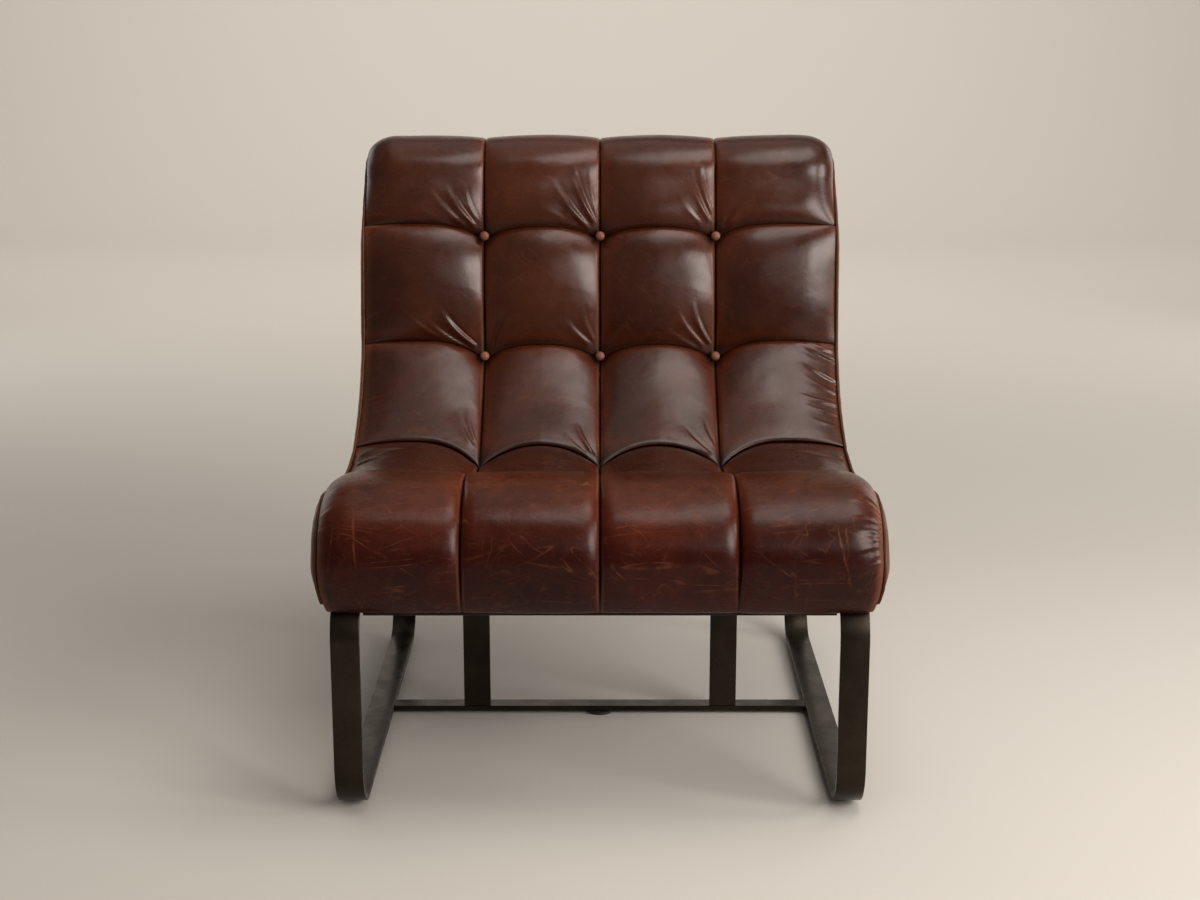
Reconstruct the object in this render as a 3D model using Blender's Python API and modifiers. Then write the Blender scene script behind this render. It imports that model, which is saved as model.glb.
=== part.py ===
"""Leather slipper chair: a quilted leather body on a bent flat-bar sled base.

Metres, +Z up, the front of the chair faces -Y. The origin is on the floor, under
the middle of the chair. Run with: blender --background --python part.py
"""
import math

import bmesh
import bpy
from mathutils import Matrix, Vector

MM = 0.001
GAP = 0.3 * MM          # clearance between pieces that touch
CUT_OVERRUN = 2 * MM    # how far a cutter runs past what it cuts

# Steel base
BAR_WIDTH = 38.1 * MM
BAR_THICKNESS = 8 * MM
BAR_EDGE = 0.8 * MM
SLED_WIDTH = 704 * MM          # over both sleds
SLED_DEPTH = 760 * MM          # front leg face to rear leg face
SLED_TOP = 310 * MM            # floor to the top face of the top bars
BEND_RADIUS = 66 * MM          # outside of each bend
STRETCHER_SETBACK = 384 * MM   # front leg face to the stretcher's front edge
STRETCHER_WIDTH = 28 * MM
UPRIGHT_WIDTH = 40 * MM
UPRIGHT_SPACING = 373 * MM     # between the uprights' centre lines
FRONT_BAR_SETBACK = 50 * MM    # leg face to the middle of the front cross bar, on edge
REAR_BAR_SETBACK = 130 * MM    # rear leg face to the middle of the rear cross bar
EDGE_BAR_DROP = 2 * MM         # top bar to the top of the cross bars that stand on edge

# Glides and bolts
GLIDE_HEIGHT = 5 * MM
GLIDE_RADIUS = 15 * MM
GLIDE_SETBACK = 95 * MM        # leg face to the glide's centre
CENTRE_GLIDE_RADIUS = 21.5 * MM
GLIDE_TAPER = 2.5 * MM
BOLT_RADIUS = 3 * MM
BOLT_LENGTH = 34 * MM          # under the head
BOLT_HEAD_RADIUS = 6.5 * MM
BOLT_HEAD_HEIGHT = 4 * MM
BOLT_SETBACK = 130 * MM        # leg face to the bolt
BOLT_CLEARANCE = 0.4 * MM

# Leather body
BAY_WIDTH = 179 * MM           # between the seams that run front to back
BAY_COUNT = 4
END_BAY_EXTRA = 6 * MM         # each end bay is this much wider
BOLSTER_OVERHANG = 35 * MM     # how far the front roll stands out past the legs
BOLSTER_DEPTH = 220 * MM
BOLSTER_DROP = 26 * MM         # how far the roll hangs below the top bars
BOLSTER_HEIGHT = 167 * MM
BOLSTER_CROWN = 6 * MM
BOLSTER_END_DROP = 28 * MM     # how much smaller the roll is at its end seams
SEAT_DEPTH = 400 * MM          # leg face to the seam between seat and back
SEAT_THICKNESS = 84 * MM       # top bars to that seam
SEAT_DISH = 12 * MM            # how far the seat dips ahead of it
SCOOP_DEPTH = 165 * MM         # from that seam back to the lower button row
SCOOP_RISE = 126 * MM
ROW_LEAN = 33 * MM             # from the lower button row to the upper one
ROW_RISE = 183 * MM
BODY_HEIGHT = 536 * MM         # top bars to the seams at the top of the back
TOP_THICKNESS = 116 * MM
TOP_LEAN = 24 * MM             # upper button row to the front of the top roll
TOP_ROLL_HEIGHT = 60 * MM
TOP_END_DROP = 34 * MM         # the top corners are this much rounder
BACK_REAR_FOOT = 672 * MM      # leg face to the rear face, at its foot
CUSHION_CROWN = 26 * MM        # how far each quilted panel stands out
SEAM_DEPTH = 7 * MM
SEAM_GAP = 0.7 * MM            # on each side of the seam between seat and back
ARCH_ONE = 17 * MM             # how far the upper button row's seam arches
ARCH_TWO = 21 * MM             # the same for the lower button row
ARCH_THREE = 29 * MM           # the same where the seat meets the back
CUSHION_THICKNESS = 45 * MM
ROLL_THICKNESS = 25 * MM       # cushion thickness round the top roll
SIDE_THICKNESS = 5 * MM        # the padded side panel at its seams
SIDE_BULGE = 6 * MM            # of the side panel, at the front roll
BACK_SIDE_BULGE = 2 * MM
OUTSIDE_BACK_THICKNESS = 8 * MM
OUTSIDE_BACK_SWELL = 5 * MM
WELT_RADIUS = 1.8 * MM
BUTTON_RADIUS = 7.5 * MM
BUTTON_HEIGHT = 6 * MM
BUTTON_SEAT = 7.5 * MM         # leather to the button's rim
BUTTON_SHANK = 1.5 * MM         # radius
SHANK_CLEARANCE = 2 * MM
WELT_CLEARANCE = 0.6 * MM

# Timber frame, springs and webbing inside the body
PLY_THICKNESS = 22 * MM
TIMBER_HEIGHT = 30 * MM
TIMBER_DEPTH = 45 * MM
TIMBER_EDGE = 2 * MM
SPRING_WIRE = 1.6 * MM         # radius
SPRING_WIDTH = 48 * MM
SPRING_PITCH = 36 * MM
SPRING_COUNT = 4
REAR_RAIL_SETBACK = 500 * MM   # leg face to the timber rear seat rail
WEB_WIDTH = 50 * MM
WEB_THICKNESS = 2 * MM
WEB_CLEARANCE = 2 * MM
DUST_COVER_THICKNESS = 1.5 * MM
TOP_RAIL_DEPTH = 30 * MM
TOP_RAIL_HEIGHT = 40 * MM
TOP_RAIL_DROP = 12 * MM        # pads' underside to the top timber
LUMBAR_SETBACK = 1 * MM        # pads' underside to the lumbar timber
PLY_CLEARANCE = 3 * MM         # pads' underside to the plywood's edge

# Places worked out from the sizes above
TOTAL_DEPTH = BOLSTER_OVERHANG + SLED_DEPTH
LEG_FACE = -TOTAL_DEPTH / 2 + BOLSTER_OVERHANG
REAR_FACE = LEG_FACE + SLED_DEPTH
BODY_HALF = BAY_WIDTH * BAY_COUNT / 2 + END_BAY_EXTRA
SLED_BAR_X = SLED_WIDTH / 2 - BAR_WIDTH / 2
SLED_INSIDE = SLED_WIDTH / 2 - BAR_WIDTH
DECK = SLED_TOP + GAP                       # the body stands on this level
SEAT_LINE = SLED_TOP + SEAT_THICKNESS
BODY_TOP = SLED_TOP + BODY_HEIGHT
BOLSTER_BOTTOM = SLED_TOP - BOLSTER_DROP
FRONT_TIMBER = LEG_FACE + BEND_RADIUS + CUT_OVERRUN / 2
UPRIGHT_FACE = LEG_FACE + STRETCHER_SETBACK
SPRING_LEVEL = DECK + DUST_COVER_THICKNESS + TIMBER_HEIGHT + 2 * GAP + SPRING_WIRE
CUSHION_BASE = SPRING_LEVEL + SPRING_WIRE + GAP
PLY_INSIDE = SLED_BAR_X - PLY_THICKNESS / 2
BOLT_PLACES = {"front": LEG_FACE + BOLT_SETBACK, "rear": REAR_FACE - BOLT_SETBACK}

# Shares of a bay, closer together beside a seam, and shares round a section
BAY_STEP_SHARES = (0, 0.1, 0.3, 0.5, 0.7, 0.9)
ROW_STEP_SHARES = (0, 0.1, 0.3, 0.5, 0.7, 0.9)
SEAM_SHARPNESS = 0.12
EDGE_FALL_SHARE = 0.45
EDGE_HEIGHT_SHARE = 0.32
END_ROUND_SHARE = 0.5
EDGE_STEP_SHARES = (0.03, 0.97)
TOP_STEP_SHARES = (0, 0.06, 0.18, 0.3, 0.42, 0.52, 0.62, 0.72, 0.82, 0.92, 1)
TOP_SWELL_SHARE = 0.24
TOP_CROWN_SHARE = 0.15
ARCH_POWER = 2.4
ROLL_DROP_RATE = 3
ROLL_RETURN_RATE = 5
TOP_MIDDLE_STEP = 5
SWELL_START_SHARE = 0.12
CORNER_PAD_SHARE = 0.6
SWELL_END_SHARE = 0.3
UNDERCUT_SHARE = 0.7
PLY_REAR_SHARE = 0.93
LUMBAR_SHARE = 0.35
SPRING_CORNER_SHARE = 0.3
SIDE_LANE_SHARES = (0, 0.12, 0.5, 0.88, 1)
SIDE_FAN_POWER = 1.25

# Steps round the curved pieces
BAR_BEND_STEPS = 8
ROUND_STEPS = 16
LINE_STEPS = 10
ROLL_KNOTS = 8
BASE_STEPS = 12
BOLSTER_STEPS = 15
OUTSIDE_BACK_STEPS = 5
PLY_STEPS = 20
BUTTON_STEPS = 12
WEB_COUNT = 3
WEB_FIRST_SHARE = 0.2
WEB_STEP_SHARE = 0.45

PARTS = "leather_chair"
CUTTERS = "cutters"


def clear_scene():
    for item in list(bpy.data.objects):
        bpy.data.objects.remove(item, do_unlink=True)
    for name in (PARTS, CUTTERS):
        if name not in bpy.data.collections:
            collection = bpy.data.collections.new(name)
            bpy.context.scene.collection.children.link(collection)


def make_material(name, colour, roughness, metallic=0.0):
    material = bpy.data.materials.new(name)
    material.use_nodes = True
    shader = material.node_tree.nodes["Principled BSDF"]
    shader.inputs["Base Color"].default_value = (*colour, 1)
    shader.inputs["Roughness"].default_value = roughness
    shader.inputs["Metallic"].default_value = metallic
    return material


def add_object(name, data, material, smooth=True):
    item = bpy.data.objects.new(name, data)
    bpy.data.collections[PARTS].objects.link(item)
    item.data.materials.append(material)
    if smooth and item.type == "MESH":
        item.data.shade_smooth()
        item.data.set_sharp_from_angle(angle=math.radians(35))
    return item


def mesh_of(work):
    bmesh.ops.recalc_face_normals(work, faces=work.faces)
    mesh = bpy.data.meshes.new("mesh")
    work.to_mesh(mesh)
    work.free()
    return mesh


def bevel_edges(item, width, segments=1):
    bevel = item.modifiers.new("eased_edges", "BEVEL")
    bevel.width = width
    bevel.segments = segments
    bevel.limit_method = "ANGLE"
    return item


def add_box(name, size, centre, material, edge=0.0):
    work = bmesh.new()
    bmesh.ops.create_cube(work, size=1)
    bmesh.ops.scale(work, vec=size, verts=work.verts)
    item = add_object(name, mesh_of(work), material, smooth=False)
    item.location = centre
    if edge:
        bevel_edges(item, edge)
    return item


def add_turned(name, profile, centre, material, steps=ROUND_STEPS):
    """Turn a profile of (radius, height) points, listed from the top down, about Z."""
    work = bmesh.new()
    points = [work.verts.new((radius, 0, height)) for radius, height in profile]
    for first, second in zip(points, points[1:]):
        work.edges.new((first, second))
    mesh = bpy.data.meshes.new(name)
    work.to_mesh(mesh)
    work.free()
    item = add_object(name, mesh, material, smooth=False)
    screw = item.modifiers.new("turn", "SCREW")
    screw.steps = steps
    screw.render_steps = steps
    screw.use_merge_vertices = True
    screw.merge_threshold = 0.01 * MM
    item.location = centre
    return item


def solid_from_curve(item):
    """Turn a filled curve object into one closed mesh object in its place."""
    bpy.context.view_layer.update()
    graph = bpy.context.evaluated_depsgraph_get()
    mesh = bpy.data.meshes.new_from_object(item.evaluated_get(graph))
    work = bmesh.new()
    work.from_mesh(mesh)
    bmesh.ops.remove_doubles(work, verts=work.verts, dist=0.01 * MM)
    work.to_mesh(mesh)
    work.free()
    solid = bpy.data.objects.new(item.name + "_solid", mesh)
    solid.matrix_world = item.matrix_world.copy()
    bpy.data.collections[PARTS].objects.link(solid)
    name = item.name
    bpy.data.objects.remove(item, do_unlink=True)
    solid.name = name
    return solid


def drill(target, centre, radius, length):
    """Cut a vertical hole that starts at centre and runs up by length."""
    work = bmesh.new()
    bmesh.ops.create_cone(work, cap_ends=True, segments=ROUND_STEPS, depth=length,
                          radius1=radius, radius2=radius)
    cutter = bpy.data.objects.new(target.name + "_drill", mesh_of(work))
    bpy.data.collections[CUTTERS].objects.link(cutter)
    cutter.location = Vector(centre) + Vector((0, 0, length / 2))
    cutter.hide_render = True
    cutter.display_type = "WIRE"
    cut = target.modifiers.new("hole", "BOOLEAN")
    cut.object = cutter


def smooth_line(points, steps=LINE_STEPS):
    """A Catmull-Rom line through the points, as a list of (y, z)."""
    line = []
    last = len(points) - 1
    for index in range(last):
        before = points[max(index - 1, 0)]
        start, end = points[index], points[index + 1]
        after = points[min(index + 2, last)]
        for step in range(steps):
            t = step / steps
            line.append(tuple(
                0.5 * (2 * b + (c - a) * t + (2 * a - 5 * b + 4 * c - d) * t ** 2
                       + (3 * b - a - 3 * c + d) * t ** 3)
                for a, b, c, d in zip(before, start, end, after)))
    line.append(points[-1])
    return line


class Route:
    """A line in the side view that can be read at any length along it."""

    def __init__(self, points):
        self.points = [Vector(point) for point in points]
        self.lengths = [0.0]
        for first, second in zip(self.points, self.points[1:]):
            self.lengths.append(self.lengths[-1] + (second - first).length)

    def total(self):
        return self.lengths[-1]

    def at(self, length):
        length = min(max(length, 0.0), self.total())
        index = 0
        while index < len(self.lengths) - 2 and self.lengths[index + 1] < length:
            index += 1
        span = self.lengths[index + 1] - self.lengths[index]
        share = (length - self.lengths[index]) / span
        return self.points[index].lerp(self.points[index + 1], share)

    def normal(self, length):
        """The normal on the left of the line, which is the leather's outer side."""
        reach = self.total() / 2000
        along = (self.at(length + reach) - self.at(length - reach)).normalized()
        return Vector((-along.y, along.x))

    def nearest(self, point):
        best = min(range(len(self.points)), key=lambda i: (self.points[i] - Vector(point)).length)
        return self.lengths[best]


def side_point(out, up):
    """A place in the side view, measured back from the leg face and up from the floor."""
    return (LEG_FACE + out, up)


def seat_and_back_route():
    """The line that the quilted seat and back follow, from the front roll's rear
    seam over the seat, up the back and round its top to the outside back."""
    row_two = (SEAT_DEPTH + SCOOP_DEPTH, SEAT_LINE + SCOOP_RISE)
    row_one = (row_two[0] + ROW_LEAN, row_two[1] + ROW_RISE)
    roll_y = row_one[0] + TOP_LEAN + TOP_THICKNESS / 2
    roll_z = BODY_TOP - TOP_ROLL_HEIGHT
    seam_y = BOLSTER_DEPTH - BOLSTER_OVERHANG
    bottom = SEAT_LINE - SEAT_DISH
    knots = [
        (seam_y, SEAT_LINE),
        (seam_y + (SEAT_DEPTH - seam_y) * 0.5, bottom),
        (SEAT_DEPTH, SEAT_LINE),
        (SEAT_DEPTH + SCOOP_DEPTH * 0.6, SEAT_LINE + SCOOP_RISE * 0.37),
        row_two,
        (row_two[0] + ROW_LEAN * 0.6, row_two[1] + ROW_RISE * 0.5),
        row_one,
    ]
    for step in range(ROLL_KNOTS + 2):
        turn = math.pi * step / ROLL_KNOTS
        knots.append((roll_y - math.cos(turn) * TOP_THICKNESS / 2,
                      roll_z + math.sin(turn) * TOP_ROLL_HEIGHT))
    line = smooth_line([side_point(*knot) for knot in knots])
    return Route(line[:-LINE_STEPS])


def bolster_route():
    """The front roll's leather line, from its rear seam over the top and down
    to where it is fixed behind its lowest point."""
    rear = BOLSTER_DEPTH - BOLSTER_OVERHANG
    face = -BOLSTER_OVERHANG + BOLSTER_CROWN
    top = BOLSTER_BOTTOM + BOLSTER_HEIGHT - BOLSTER_CROWN
    bottom = BOLSTER_BOTTOM + BOLSTER_CROWN * 0.4
    depth = rear - face
    height = top - bottom
    knot_shares = ((0.0, 0.60), (0.14, 0.90), (0.40, 1.0), (0.68, 0.97), (0.90, 0.80),
                   (1.0, 0.50), (0.96, 0.22), (0.885, 0.04), (0.83, 0.01))
    knots = [(rear - depth * back, bottom + height * up) for back, up in knot_shares]
    knots[0] = (rear, SEAT_LINE)
    return Route(smooth_line([side_point(*knot) for knot in knots]))


SEAT_BACK = seat_and_back_route()
BOLSTER = bolster_route()
ROW_THREE = SEAT_BACK.nearest(side_point(SEAT_DEPTH, SEAT_LINE))
ROW_TWO = SEAT_BACK.nearest(side_point(SEAT_DEPTH + SCOOP_DEPTH, SEAT_LINE + SCOOP_RISE))
ROW_ONE = SEAT_BACK.nearest(side_point(SEAT_DEPTH + SCOOP_DEPTH + ROW_LEAN,
                                       SEAT_LINE + SCOOP_RISE + ROW_RISE))
ROW_END = SEAT_BACK.total()
ROLL_INSIDE = ROW_ONE + (ROW_END - ROW_ONE) * 0.42


def seams_across():
    """Where the seams that run front to back lie, side seams included."""
    inner = [BAY_WIDTH * (number - BAY_COUNT / 2) for number in range(1, BAY_COUNT)]
    return [-BODY_HALF] + inner + [BODY_HALF]


def bay_place(x):
    """The bay that x lies in, and its place there from -1 to 1."""
    seams = seams_across()
    index = max(number for number in range(BAY_COUNT) if number == 0 or x >= seams[number])
    left, right = seams[index:index + 2]
    return index, 2 * (x - left) / (right - left) - 1


def edge_share(x):
    """0 where buttons or an inner seam hold the leather, up to 1 at a side seam."""
    index, place = bay_place(x)
    outer = (index == 0 and place < 0) or (index == BAY_COUNT - 1 and place > 0)
    return abs(place) if outer else 0.0


def arched(x, arch):
    """How far a cross seam that arches this much rises at x, between the buttons."""
    fall = abs(bay_place(x)[1]) ** ARCH_POWER
    return arch * (1 - fall * (EDGE_FALL_SHARE if edge_share(x) else 1))


def round_off(x):
    """The fall of a quarter round at each end: 0 over most of the width, 1 at the side seams."""
    past = max(edge_share(x) - END_ROUND_SHARE, 0) / (1 - END_ROUND_SHARE)
    return 1 - math.sqrt(max(1 - past ** 2, 0))


def panel_height(x, row_place, crown):
    """How far a quilted panel stands out at x, at row_place from -1 to 1."""
    place = bay_place(x)[1]
    edge = edge_share(x)
    dome = 1 - 0.5 * (place ** 2 + row_place ** 2)
    dome = max(dome, edge ** 4 * EDGE_HEIGHT_SHARE)
    side = 0.0 if edge else math.exp(-((1 - abs(place)) / SEAM_SHARPNESS) ** 2)
    cross = math.exp(-((1 - abs(row_place)) / SEAM_SHARPNESS) ** 2)
    drawn_in = SEAM_DEPTH * min(2 * crown / CUSHION_CROWN, 1)
    return crown * dome - drawn_in * max(side, cross)


def stations_across():
    places = []
    seams = seams_across()
    for left, right in zip(seams, seams[1:]):
        places += [left + (right - left) * share for share in BAY_STEP_SHARES]
    first_step, last_step = EDGE_STEP_SHARES
    places.append(seams[0] + (seams[1] - seams[0]) * first_step)
    places.append(seams[-2] + (seams[-1] - seams[-2]) * last_step)
    return sorted(places) + [BODY_HALF]


def loft(name, rings, material):
    """Join closed rings of (x, y, z) points, one after the other, into a solid."""
    work = bmesh.new()
    loops = [[work.verts.new(point) for point in ring] for ring in rings]
    for first, second in zip(loops, loops[1:]):
        for index in range(len(first)):
            following = (index + 1) % len(first)
            work.faces.new((first[index], first[following], second[following], second[index]))
    work.faces.new(loops[0])
    work.faces.new(list(reversed(loops[-1])))
    return add_object(name, mesh_of(work), material)


def loft_across(name, section, material):
    return loft(name, [[(x, y, z) for y, z in section(x)] for x in stations_across()], material)


def corner_drop(x, length):
    """How far the top roll's corners fall away at x."""
    over = (length - ROW_ONE) / (ROW_END - ROW_ONE)
    over = max(min(over * ROLL_DROP_RATE, (1 - over) * ROLL_RETURN_RATE, 1), 0)
    return TOP_END_DROP * round_off(x) * over


def quilted_line(x, start, end, shares, row_place_at, crown_at=lambda share: CUSHION_CROWN):
    """Points on the leather at x, from start to end along the seat and back."""
    points = []
    for share in shares:
        length = start + (end - start) * share
        lift = panel_height(x, row_place_at(share), crown_at(share))
        lift -= corner_drop(x, length)
        points.append(tuple(SEAT_BACK.at(length) + SEAT_BACK.normal(length) * lift))
    return points


def square_row(share):
    return 2 * share - 1


def top_row(share):
    """The top row swells soon above its buttons."""
    return min(share / TOP_SWELL_SHARE, 1) - 1


def top_crown(share):
    """The top row flattens as it goes over the roll."""
    past = min(max(share - TOP_SWELL_SHARE, 0) / TOP_SWELL_SHARE, 1)
    return CUSHION_CROWN * (1 + (TOP_CROWN_SHARE - 1) * past)


def seat_line(x):
    return quilted_line(x, GAP, ROW_THREE + arched(x, ARCH_THREE) - SEAM_GAP, ROW_STEP_SHARES + (1,),
                        square_row)


def back_line(x):
    seam_three = ROW_THREE + arched(x, ARCH_THREE) + SEAM_GAP
    seam_two = ROW_TWO + arched(x, ARCH_TWO)
    seam_one = ROW_ONE + arched(x, ARCH_ONE)
    low = quilted_line(x, seam_three, seam_two, ROW_STEP_SHARES, square_row)
    middle = quilted_line(x, seam_two, seam_one, ROW_STEP_SHARES, square_row)
    top = quilted_line(x, seam_one, ROW_END, TOP_STEP_SHARES, top_row, top_crown)
    return low + middle + top


def pad_base(length, x=0.0):
    """The underside of the pads: flat on the springs, then behind the back, and lower
    under the top roll's corners."""
    point, normal = SEAT_BACK.at(length), SEAT_BACK.normal(length)
    rolled = min(max((length - ROW_ONE) / TOP_ROLL_HEIGHT, 0), 1)
    thickness = CUSHION_THICKNESS + (ROLL_THICKNESS - CUSHION_THICKNESS) * rolled
    if normal.y > 0:
        down_to_springs = (point.y - CUSHION_BASE) / normal.y
        thickness = down_to_springs if length <= ROW_THREE else min(thickness, down_to_springs)
    thickness += max(corner_drop(x, length) - ROLL_THICKNESS * CORNER_PAD_SHARE, 0)
    return tuple(point - normal * thickness)


def seat_section(x):
    top = seat_line(x)
    front = SEAT_BACK.at(0).x + GAP
    top[0] = (front, top[0][1])
    end = ROW_THREE + arched(x, ARCH_THREE) - SEAM_GAP
    return top + [pad_base(end), pad_base(ROW_THREE - PLY_CLEARANCE), (front, CUSHION_BASE)]


def back_section(x):
    start = ROW_THREE + arched(x, ARCH_THREE) + SEAM_GAP
    base = [pad_base(start + (ROW_END - start) * step / BASE_STEPS, x)
            for step in range(BASE_STEPS, -1, -1)]
    return back_line(x) + base


def bolster_line(x):
    """Points on the front roll's leather at x, from its rear seam round to its heel."""
    place = bay_place(x)[1]
    edge = edge_share(x)
    groove = 0.0 if edge else math.exp(-((1 - abs(place)) / SEAM_SHARPNESS) ** 2)
    crown = BOLSTER_CROWN * max(1 - place ** 2, 0) - SEAM_DEPTH * groove
    points = []
    for step in range(BOLSTER_STEPS + 1):
        share = step / BOLSTER_STEPS
        swell = min(share / SWELL_START_SHARE, 1, (1 - share) / SWELL_END_SHARE)
        length = BOLSTER.total() * share
        lift = (crown - BOLSTER_END_DROP * round_off(x)) * swell
        points.append(tuple(BOLSTER.at(length) - BOLSTER.normal(length) * lift))
    return points


def bolster_section(x):
    top = bolster_line(x)
    rear = SEAT_BACK.at(0).x - GAP
    top[0] = (rear, top[0][1])
    wall = FRONT_TIMBER - GAP
    return top + [(LEG_FACE + BEND_RADIUS * UNDERCUT_SHARE, DECK + GAP), (wall, DECK + GAP),
                  (wall, CUSHION_BASE), (rear, CUSHION_BASE)]


def rear_face(share):
    """A point on the outside back, from its foot at 0 to its top seam at 1."""
    foot = Vector((LEG_FACE + BACK_REAR_FOOT, DECK))
    return foot.lerp(SEAT_BACK.at(ROW_END), share)


def outside_back_section(x):
    inner, outer = [], []
    side = 1 - abs(x / BODY_HALF) ** 6
    for step in range(OUTSIDE_BACK_STEPS + 1):
        share = step / OUTSIDE_BACK_STEPS
        point = rear_face(share)
        swell = OUTSIDE_BACK_SWELL * side * (1 - (2 * share - 1) ** 4)
        outer.append((point.x + swell, point.y - (GAP if step == OUTSIDE_BACK_STEPS else 0)))
        inner.append((point.x - OUTSIDE_BACK_THICKNESS, outer[-1][1]))
    return outer + list(reversed(inner))


def side_front_line():
    """The front edge of the side panel: heel, round the roll, seat, back and roll top."""
    bolster = list(reversed(bolster_line(BODY_HALF)))[:-1]
    seat = seat_line(BODY_HALF)[1:-1:2]
    back = [point for point in back_line(BODY_HALF)]
    top_end = len(back) - len(TOP_STEP_SHARES) + TOP_MIDDLE_STEP
    return bolster, seat + back[:top_end:2]


def side_panel(name, side, material):
    """A padded panel that fills the side view between the quilted front and the rear."""
    roll, rise = side_front_line()
    front = roll + rise
    back = back_line(BODY_HALF)
    rear_route = Route(smooth_line([
        (FRONT_TIMBER, DECK), (LEG_FACE + SEAT_DEPTH, DECK),
        (LEG_FACE + BACK_REAR_FOOT - OUTSIDE_BACK_THICKNESS, DECK)], 6)
        + smooth_line([tuple(rear_face(share)) for share in (0, 0.5, 1)], 6)
        + [point for point in reversed(back[-TOP_MIDDLE_STEP:-1])])
    front_route = Route(front)
    lanes = len(SIDE_LANE_SHARES) - 1
    rows = []
    for index, point in enumerate(front):
        share = front_route.lengths[index] / front_route.total()
        reach = share ** SIDE_FAN_POWER
        partner = rear_route.at(rear_route.total() * reach)
        rows.append([Vector(point).lerp(partner, lane) for lane in SIDE_LANE_SHARES])
    work = bmesh.new()
    skins = []
    for outer in (False, True):
        skin = []
        for row_number, row in enumerate(rows):
            end_share = min(row_number, len(rows) - 1 - row_number) / 2
            bulge = SIDE_BULGE if row_number < len(roll) else BACK_SIDE_BULGE
            line = []
            for lane, point in zip(SIDE_LANE_SHARES, row):
                puff = min(end_share, 1) * (1 - (2 * lane - 1) ** 4)
                depth = SIDE_THICKNESS + bulge * puff if outer else 0
                line.append(work.verts.new((side * (BODY_HALF + GAP + depth), *point)))
            skin.append(line)
        skins.append(skin)
    for skin in skins:
        for first, second in zip(skin, skin[1:]):
            for lane in range(lanes):
                work.faces.new((first[lane], first[lane + 1], second[lane + 1], second[lane]))
    inner, outer = skins
    for lane in (0, lanes):
        for row_number in range(len(rows) - 1):
            work.faces.new((inner[row_number][lane], inner[row_number + 1][lane],
                            outer[row_number + 1][lane], outer[row_number][lane]))
    for row_number in (0, len(rows) - 1):
        for lane in range(lanes):
            work.faces.new((inner[row_number][lane], inner[row_number][lane + 1],
                            outer[row_number][lane + 1], outer[row_number][lane]))
    return add_object(name, mesh_of(work), material)


def add_base(steel):
    """Two sleds, the stretcher and uprights, and the cross bars under the seat."""
    for side, label in ((-1, "left"), (1, "right")):
        sled = add_sled("sled_" + label, side, steel)
        for end, setback in BOLT_PLACES.items():
            drill(sled, (side * SLED_BAR_X, setback, SLED_TOP - BAR_THICKNESS - CUT_OVERRUN),
                  BOLT_RADIUS + BOLT_CLEARANCE, BAR_THICKNESS + 2 * CUT_OVERRUN)
        foot = GLIDE_HEIGHT + BAR_THICKNESS + GAP
        head = SLED_TOP - BAR_THICKNESS - GAP
        add_box("upright_" + label, (UPRIGHT_WIDTH, BAR_THICKNESS, head - foot),
                (side * UPRIGHT_SPACING / 2, UPRIGHT_FACE + BAR_THICKNESS / 2,
                 (head + foot) / 2), steel, BAR_EDGE)
    length = 2 * (SLED_INSIDE - GAP)
    add_box("floor_stretcher", (length, STRETCHER_WIDTH, BAR_THICKNESS),
            (0, UPRIGHT_FACE + STRETCHER_WIDTH / 2, GLIDE_HEIGHT + BAR_THICKNESS / 2),
            steel, BAR_EDGE)
    add_box("middle_cross_bar", (length, BAR_WIDTH, BAR_THICKNESS),
            (0, UPRIGHT_FACE + BAR_THICKNESS / 2, SLED_TOP - BAR_THICKNESS / 2),
            steel, BAR_EDGE)
    for label, y in (("front", LEG_FACE + FRONT_BAR_SETBACK),
                     ("rear", REAR_FACE - REAR_BAR_SETBACK)):
        add_box(label + "_cross_bar", (length, BAR_THICKNESS, BAR_WIDTH),
                (0, y, SLED_TOP - EDGE_BAR_DROP - BAR_WIDTH / 2), steel, BAR_EDGE)


def add_sled(name, side, steel):
    """A closed loop of flat bar: one 2D outline inside another, extruded to the bar's width."""
    curve = bpy.data.curves.new(name, "CURVE")
    curve.dimensions = "2D"
    curve.fill_mode = "BOTH"
    curve.extrude = BAR_WIDTH / 2
    bottom, top = GLIDE_HEIGHT, SLED_TOP
    for inset in (0, BAR_THICKNESS):
        radius = BEND_RADIUS - inset
        spline = curve.splines.new("POLY")
        points = []
        corners = ((REAR_FACE, top, 0), (LEG_FACE, top, 90),
                   (LEG_FACE, bottom, 180), (REAR_FACE, bottom, 270))
        for y, z, start in corners:
            centre_y = y + BEND_RADIUS * (1 if y == LEG_FACE else -1)
            centre_z = z + BEND_RADIUS * (1 if z == bottom else -1)
            for step in range(BAR_BEND_STEPS + 1):
                angle = math.radians(start + 90 * step / BAR_BEND_STEPS)
                points.append((centre_y + radius * math.cos(angle),
                               centre_z + radius * math.sin(angle)))
        spline.points.add(len(points) - 1)
        for point, (y, z) in zip(spline.points, points):
            point.co = (y, z, 0, 1)
        spline.use_cyclic_u = True
    item = add_object(name, curve, steel)
    item.matrix_world = Matrix(((0, 0, 1, side * SLED_BAR_X), (1, 0, 0, 0),
                                (0, 1, 0, 0), (0, 0, 0, 1)))
    item = solid_from_curve(item)
    bevel_edges(item, BAR_EDGE)
    return item


def add_glides(plastic):
    for side, label in ((-1, "left"), (1, "right")):
        for end, y in (("front", LEG_FACE + GLIDE_SETBACK), ("rear", REAR_FACE - GLIDE_SETBACK)):
            add_glide("glide_" + end + "_" + label, (side * SLED_BAR_X, y, 0),
                      GLIDE_RADIUS, plastic)
    add_glide("centre_glide", (0, UPRIGHT_FACE + STRETCHER_WIDTH / 2, 0),
              CENTRE_GLIDE_RADIUS, plastic)


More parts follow.
